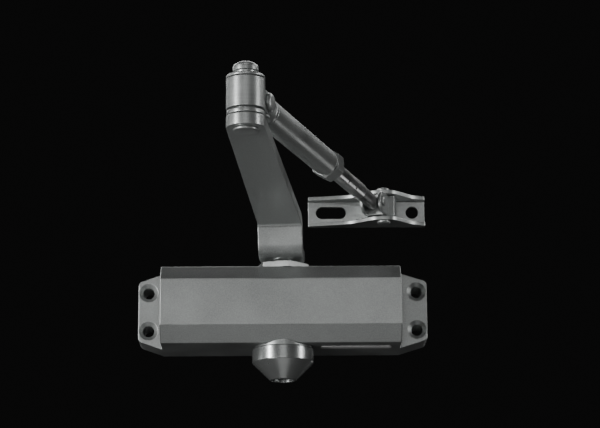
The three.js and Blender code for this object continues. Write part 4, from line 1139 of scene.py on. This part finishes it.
tube = flat_ring("tube", TUBE_BORE, TUBE_RADIUS, TUBE_START, TUBE_END)
settle(break_edges(tube, 0.35), ALONG_LINK)
hand_over(tube, "forearm_tube", "forearm", satin_silver("tube_lacquer", flakes, 1700.0))

# %% Adjuster nut
NUT_FLATS = 12.7
NUT_START = 106.3
NUT_END = 115.3
NUT_CHAMFER = 0.8
NUT_STEM_START = 98
NUT_BORE_RADIUS = 4.03


def adjuster_nut():
    corner = NUT_FLATS / math.sqrt(3)
    flat = NUT_FLATS / 2
    piece = prism("nut", hexagon(NUT_FLATS, math.pi / 2), NUT_START, NUT_END)
    break_edges(piece, 0.2, segments=2)
    combine(piece, turned("crown", [
        (0, NUT_START), (flat, NUT_START), (corner + 0.1, NUT_START + NUT_CHAMFER),
        (corner + 0.1, NUT_END - NUT_CHAMFER), (flat, NUT_END), (0, NUT_END),
    ]), "INTERSECT")
    weld(piece, bar("nut_stem", STEM_RADIUS, NUT_STEM_START, NUT_START + 0.5))
    cut(piece, bar("nut_bore", NUT_BORE_RADIUS, NUT_STEM_START - 1, NUT_END + 1))
    return settle(piece, ALONG_LINK)


hand_over(
    adjuster_nut(), "adjuster_nut", "forearm", turned_lacquer("nut_lacquer", ALONG_LINK),
)

# %% [markdown]
# The plated rod slides out of the tube to set the arm's length. Two small dimples mark it,
# and a thinner dark end is screwed into it.

# %% Adjusting rod and its end
ROD_RADIUS = 3.95
ROD_START = 68
ROD_END = 160
ROD_SOCKET_RADIUS = 2.6
ROD_SOCKET_START = 144
DIMPLES = (134, 146)
DIMPLE_TURN = math.radians(43)


def adjusting_rod():
    piece = bar("plated_rod", ROD_RADIUS, ROD_START, ROD_END)
    settle(break_edges(piece, 0.7, segments=4), LIE_ALONG_Y)
    socket = bar("rod_socket", ROD_SOCKET_RADIUS, ROD_SOCKET_START, ROD_END + 1, steps=48)
    cut(piece, settle(socket, LIE_ALONG_Y))
    facing = Matrix.Rotation(DIMPLE_TURN, 4, "Y") @ LIE_ALONG_X
    for along in DIMPLES:
        pit = turned("dimple", [(0, 3.1), (0.9, 3.4), (1.05, 5), (0, 5)], steps=32)
        cut(piece, settle(pit, Matrix.Translation((0, along * MM, 0)) @ facing))
    return settle(piece, LINK_PLACE)


hand_over(adjusting_rod(), "adjusting_rod", "rod", polished_plate("rod_plate", ALONG_LINK))

EYE_RADIUS = 3.5
EYE_STEM_RADIUS = 2.5
EYE_STEM_START = 145
NOSE_STEPS = 12
CLEVIS_HOLE_RADIUS = 1.65


def rod_end():
    nose = []
    for step in range(NOSE_STEPS):
        angle = math.pi / 2 * step / NOSE_STEPS
        nose.append((EYE_RADIUS * math.cos(angle), clevis_along + EYE_RADIUS * math.sin(angle)))
    shoulder = ROD_END + 0.3
    piece = turned("rod_end", [
        (0, EYE_STEM_START), (EYE_STEM_RADIUS, EYE_STEM_START), (EYE_STEM_RADIUS, shoulder),
        (EYE_RADIUS - 0.3, shoulder), (EYE_RADIUS, shoulder + 0.3), *nose, (0, clevis_along + EYE_RADIUS),
    ])
    settle(piece, LIE_ALONG_Y)
    cut(piece, cross_hole(CLEVIS_HOLE_RADIUS, clevis_along))
    return settle(piece, LINK_PLACE)


hand_over(rod_end(), "rod_eye", "rod", plain_steel("rod_end_steel", ALONG_LINK))

# %% [markdown]
# ## Swivel block and bracket
# The swivel block is a stepped steel block with two ears that hold the rod's end on a pin.
# It turns on a rivet inside the bracket.

# %% Swivel block and pin
CLEVIS_END = 196.8
CHEEK_INNER = 3.75
CHEEK_OUTER = 5.35
CHEEK_RADIUS = 5.3
SHOULDER_SIDE = 8.3
SHOULDER_STEP = 5.1
PIVOT_HOLE_RADIUS = 2.5


def swivel_block():
    centre = clevis_along + 0.7
    web_start = clevis_along + 4.3
    half = CHEEK_RADIUS
    piece = block("swivel", (-CHEEK_OUTER, web_start, -half), (CHEEK_OUTER, CLEVIS_END, half))
    break_edges(piece, 0.4)
    shoulder_start = (CHEEK_OUTER - 1, web_start + SHOULDER_STEP, -half)
    shoulder = block("shoulder", shoulder_start, (SHOULDER_SIDE, CLEVIS_END, half))
    weld(piece, break_edges(shoulder, 0.5))
    weld(piece, ear("left_cheek", -CHEEK_OUTER, -CHEEK_INNER, web_start + 1, centre, half, edge=0.45))
    weld(piece, ear("right_cheek", CHEEK_INNER, CHEEK_OUTER, web_start + 1, centre, half, edge=0.45))
    local_pivot = LINK_PLACE.inverted() @ pivot
    pivot_hole = bar("pivot_hole", PIVOT_HOLE_RADIUS, -12, 12)
    cut(piece, settle(pivot_hole, Matrix.Translation((local_pivot.x, local_pivot.y, 0))))
    cut(piece, cross_hole(CLEVIS_HOLE_RADIUS, clevis_along))
    return settle(piece, LINK_PLACE)


hand_over(swivel_block(), "swivel_block", "swivel", bright_zinc("swivel_zinc"))

PIN_PLACE = LINK_PLACE @ Matrix.Translation((0, clevis_along * MM, 0)) @ LIE_ALONG_X


def swivel_pin():
    half = [(1.55, 5.5), (2.2, 5.5), (2.2, 5.85), (1.7, 6.1), (0, 6.1)]
    piece = turned("cross_pin", both_ways(half), steps=64)
    return settle(break_edges(piece, 0.12, segments=2), PIN_PLACE)


hand_over(swivel_pin(), "swivel_pin", "swivel", turned_zinc("cross_pin_zinc", PIN_PLACE))

# %% [markdown]
# The bracket is folded from 2 mm sheet. The folded section, with its round bends, is drawn
# once and raised along the bracket, then crossed with the outline of its flanges, which
# rise to a peak where the rivet goes through.

# %% Bracket
SHEET = 2
BEND_OUTER = 2.3
BEND_INNER = 0.6
FLANGE_REACH = 19
FLANGE_EDGE = [
    (13.1, -4.7), (24, -6.5), (34, -9.2), (41, -14.2), (46, -17.6),
    (50.7, -18.4), (55.4, -17.6), (60, -13.4), (65.5, -8), (72.1, -5),
]
SLOT_CENTRE = 24.65
SLOT_HALF = 4.5
SLOT_RADIUS = 3.15
BRACKET_HOLE_X = 65.7
BRACKET_HOLE_RADIUS = 3.2


def smooth_line(points, steps=6):
    """A Catmull-Rom line through the points."""
    ends = [points[0], *points, points[-1]]
    line = []
    for a, b, c, d in zip(ends, ends[1:], ends[2:], ends[3:]):
        for step in range(steps):
            t = step / steps
            line.append(tuple(
                0.5 * (
                    2 * q + (r - p) * t + (2 * p - 5 * q + 4 * r - s) * t**2
                    + (3 * q - p - 3 * r + s) * t**3
                )
                for p, q, r, s in zip(a, b, c, d)
            ))
    return [*line, points[-1]]


def bracket_section(middle, half):
    top = middle + half
    bottom = middle - half
    points = [(-FLANGE_REACH, bottom)]
    points += arc((-BEND_OUTER, bottom + BEND_OUTER), BEND_OUTER, -90, 0, 8)
    points += arc((-BEND_OUTER, top - BEND_OUTER), BEND_OUTER, 0, 90, 8)
    points += [(-FLANGE_REACH, top), (-FLANGE_REACH, top - SHEET)]
    inner = -SHEET - BEND_INNER
    points += arc((inner, top - SHEET - BEND_INNER), BEND_INNER, 90, 0, 4)
    points += arc((inner, bottom + SHEET + BEND_INNER), BEND_INNER, 0, -90, 4)
    points.append((-FLANGE_REACH, bottom + SHEET))
    return points


def bracket():
    low, high = [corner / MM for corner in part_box("bracket")]
    middle = (low.z + high.z) / 2
    section = bracket_section(middle, high.z - middle)
    piece = settle(prism("bracket_fine", section, low.x, high.x), STAND_ACROSS)
    outline = [(high.x, 1), (low.x, 1), *smooth_line(FLANGE_EDGE)]
    combine(piece, prism("flange_outline", outline, low.z - 2, high.z + 2), "INTERSECT")
    break_edges(piece, 0.3, sharper_than=40)
    slot = arc((SLOT_CENTRE + SLOT_HALF, 0), SLOT_RADIUS, -90, 90, 24)
    slot += arc((SLOT_CENTRE - SLOT_HALF, 0), SLOT_RADIUS, 90, 270, 24)
    facing = Matrix.Translation((0, 0, middle * MM)) @ Matrix.Rotation(math.pi / 2, 4, "X")
    cut(piece, settle(prism("slot", slot, -1, 4), facing))
    hole = bar("hole", BRACKET_HOLE_RADIUS, -1, 4, steps=64)
    cut(piece, settle(hole, Matrix.Translation((BRACKET_HOLE_X * MM, 0, 0)) @ facing))
    rivet_hole = bar("rivet_hole", PIVOT_HOLE_RADIUS, low.z - 5, high.z + 5)
    cut(piece, settle(rivet_hole, Matrix.Translation((pivot.x, pivot.y, 0))))
    return piece


hand_over(bracket(), "bracket", "shoe", bright_zinc("bracket_zinc"))

# %% Pivot rivet
PIVOT_PLACE = Matrix.Translation(pivot)


def pivot_rivet():
    half = [(2.4, 7.8), (3.4, 7.8), (3.4, 8.4), (3.05, 8.85), (2.3, 9.12), (0, 9.2)]
    piece = turned("shoe_rivet", both_ways(half), steps=64)
    return settle(break_edges(piece, 0.12, segments=2), PIVOT_PLACE)


hand_over(pivot_rivet(), "pivot_rivet", "shoe", turned_zinc("rivet_zinc", PIVOT_PLACE))

# %% [markdown]
# ## Pieces sealed inside
# The bearings, seals, piston and check valve never show, and their CAD shapes are right, so
# they stay as they are and only take their real finishes.

# %% Finishes on the inner CAD nodes
brass_bush = turned_brass("bearing_brass", SPINDLE_PLACE)
rubber = black_rubber("seal_rubber")
inner_finishes = {
    "upper_bearing": brass_bush,
    "lower_bearing": brass_bush,
    "upper_spindle_seal": rubber,
    "lower_spindle_seal": rubber,
    "right_plug_ring": rubber,
    "left_plug_ring": rubber,
    "piston_ring": rubber,
    "piston": plain_steel("piston_steel", BORE_PLACE),
    "check_ball": polished_plate("ball_plate", BORE_PLACE),
    "check_ball_retainer": turned_brass("retainer_brass", BORE_PLACE),
}
for node, material in inner_finishes.items():
    mesh = frame["nodes"][node].data
    mesh.materials.clear()
    mesh.materials.append(material)
print("inner nodes finished:", len(inner_finishes))

# %% [markdown]
# ## Floor, light and camera
# A closer hangs on a door, well above the floor, so the floor is a wide pale sheet far
# below. It is pale to look at and dark to everything else, so it throws almost no light
# up from under the closer.

# %% Floor
FLOOR_HEIGHT = -0.9
FLOOR_RADIUS = 6


def pale_floor():
    clear_bench()
    bpy.ops.mesh.primitive_circle_add(
        vertices=128, radius=FLOOR_RADIUS, fill_type="NGON", location=(0, 0, FLOOR_HEIGHT),
    )
    floor = bpy.context.object
    floor.name = "pale_floor"
    material = bpy.data.materials.new("pale_floor")
    material.use_nodes = True
    tree = material.node_tree
    shader = tree.nodes["Principled BSDF"]
    shader.inputs["Roughness"].default_value = 0.8
    seen = tree.nodes.new("ShaderNodeLightPath")
    tone = tree.nodes.new("ShaderNodeMix")
    tone.data_type = "RGBA"
    tone.inputs["A"].default_value = grey(0.03)
    tone.inputs["B"].default_value = grey(0.75)
    tree.links.new(seen.outputs["Is Camera Ray"], tone.inputs["Factor"])
    tree.links.new(tone.outputs["Result"], shader.inputs["Base Color"])
    floor.data.materials.append(material)
    return floor


pale_floor()

# %% [markdown]
# All lamps are soft. Two in front keep the flat faces even. A tall narrow one on the left
# and a wider one on the right draw an upright highlight down each round piece. One above
# and three behind light the top and the back, and the others fill in from low down.

# %% Lamps
TARGET = Vector((0.0088, -0.04, 0.02))
WORLD_GREY = 0.004


def soft_lamp(name, azimuth, elevation, distance, width, height, power):
    """Azimuth 0 stands in front of the closer, 90 on its right; both angles in degrees."""
    light = bpy.data.lights.new(name, "AREA")
    light.shape = "RECTANGLE"
    light.size = width
    light.size_y = height
    light.energy = power
    lamp = bpy.data.objects.new(name, light)
    turn = math.radians(azimuth)
    rise = math.radians(elevation)
    away = Vector((math.sin(turn) * math.cos(rise), -math.cos(turn) * math.cos(rise), math.sin(rise)))
    lamp.location = TARGET + away * distance
    lamp.rotation_euler = away.to_track_quat("Z", "Y").to_euler()
    bpy.context.scene.collection.objects.link(lamp)
    return lamp


soft_lamp("front_lamp", 0, -4, 1.9, 0.8, 0.35, 3.5)
soft_lamp("front_high_lamp", 0, 14, 1.9, 0.8, 0.25, 0.9)
soft_lamp("upper_lamp", 0, 50, 1.6, 0.8, 0.3, 2.2)
soft_lamp("low_lamp", 0, -72, 0.9, 0.5, 0.25, 0.35)
soft_lamp("left_strip_lamp", -52, 0, 1.5, 0.15, 0.8, 20)
soft_lamp("left_side_lamp", -92, 0, 1.5, 0.4, 0.9, 2.4)
soft_lamp("left_low_lamp", -45, -30, 1.5, 0.4, 0.3, 4)
soft_lamp("right_lamp", 72, 4, 1.6, 0.25, 0.9, 8.7)
soft_lamp("rear_low_lamp", 142, -15, 1.5, 0.3, 0.25, 0.4)
soft_lamp("rear_lamp", 180, 42, 1.8, 1.2, 0.6, 7)
soft_lamp("rear_left_lamp", -140, 35, 1.8, 0.6, 0.8, 6)
soft_lamp("rear_right_lamp", 120, 38, 1.8, 0.6, 0.8, 6)

world = bpy.data.worlds.new("studio")
world.use_nodes = True
world.node_tree.nodes["Background"].inputs["Color"].default_value = grey(WORLD_GREY)
bpy.context.scene.world = world

# %% [markdown]
# The camera is a long lens about a metre away, a little below the closer and looking up at
# it, turned by less than one degree.

# %% Camera
CAMERA_DISTANCE = 1.0
CAMERA_AIM = Vector((0.008849, -0.018, 0.049416))
CAMERA_YAW = -0.0108
CAMERA_PITCH = -0.255
CAMERA_ROLL = -0.0076
LENS = 120.36


def long_lens():
    data = bpy.data.cameras.new("camera")
    data.sensor_width = 36
    data.lens = LENS
    data.clip_start = 0.05
    data.clip_end = 50
    camera = bpy.data.objects.new("camera", data)
    away = Vector((
        math.sin(CAMERA_YAW) * math.cos(CAMERA_PITCH), -math.cos(CAMERA_YAW) * math.cos(CAMERA_PITCH),
        math.sin(CAMERA_PITCH),
    ))
    level = Vector((0, 0, 1)).cross(away).normalized()
    upright = away.cross(level)
    right = math.cos(CAMERA_ROLL) * level + math.sin(CAMERA_ROLL) * upright
    up = away.cross(right)
    turn = Matrix((right, up, away)).transposed().to_4x4()
    camera.matrix_world = Matrix.Translation(CAMERA_AIM + away * CAMERA_DISTANCE) @ turn
    bpy.context.scene.collection.objects.link(camera)
    bpy.context.scene.camera = camera
    return camera


print("camera at", [round(value, 4) for value in long_lens().matrix_world.translation])

# %% [markdown]
# ## Last count
# The number of finished pieces is printed.

# %% Count of pieces
clear_bench()
print("pieces made:", len(made))
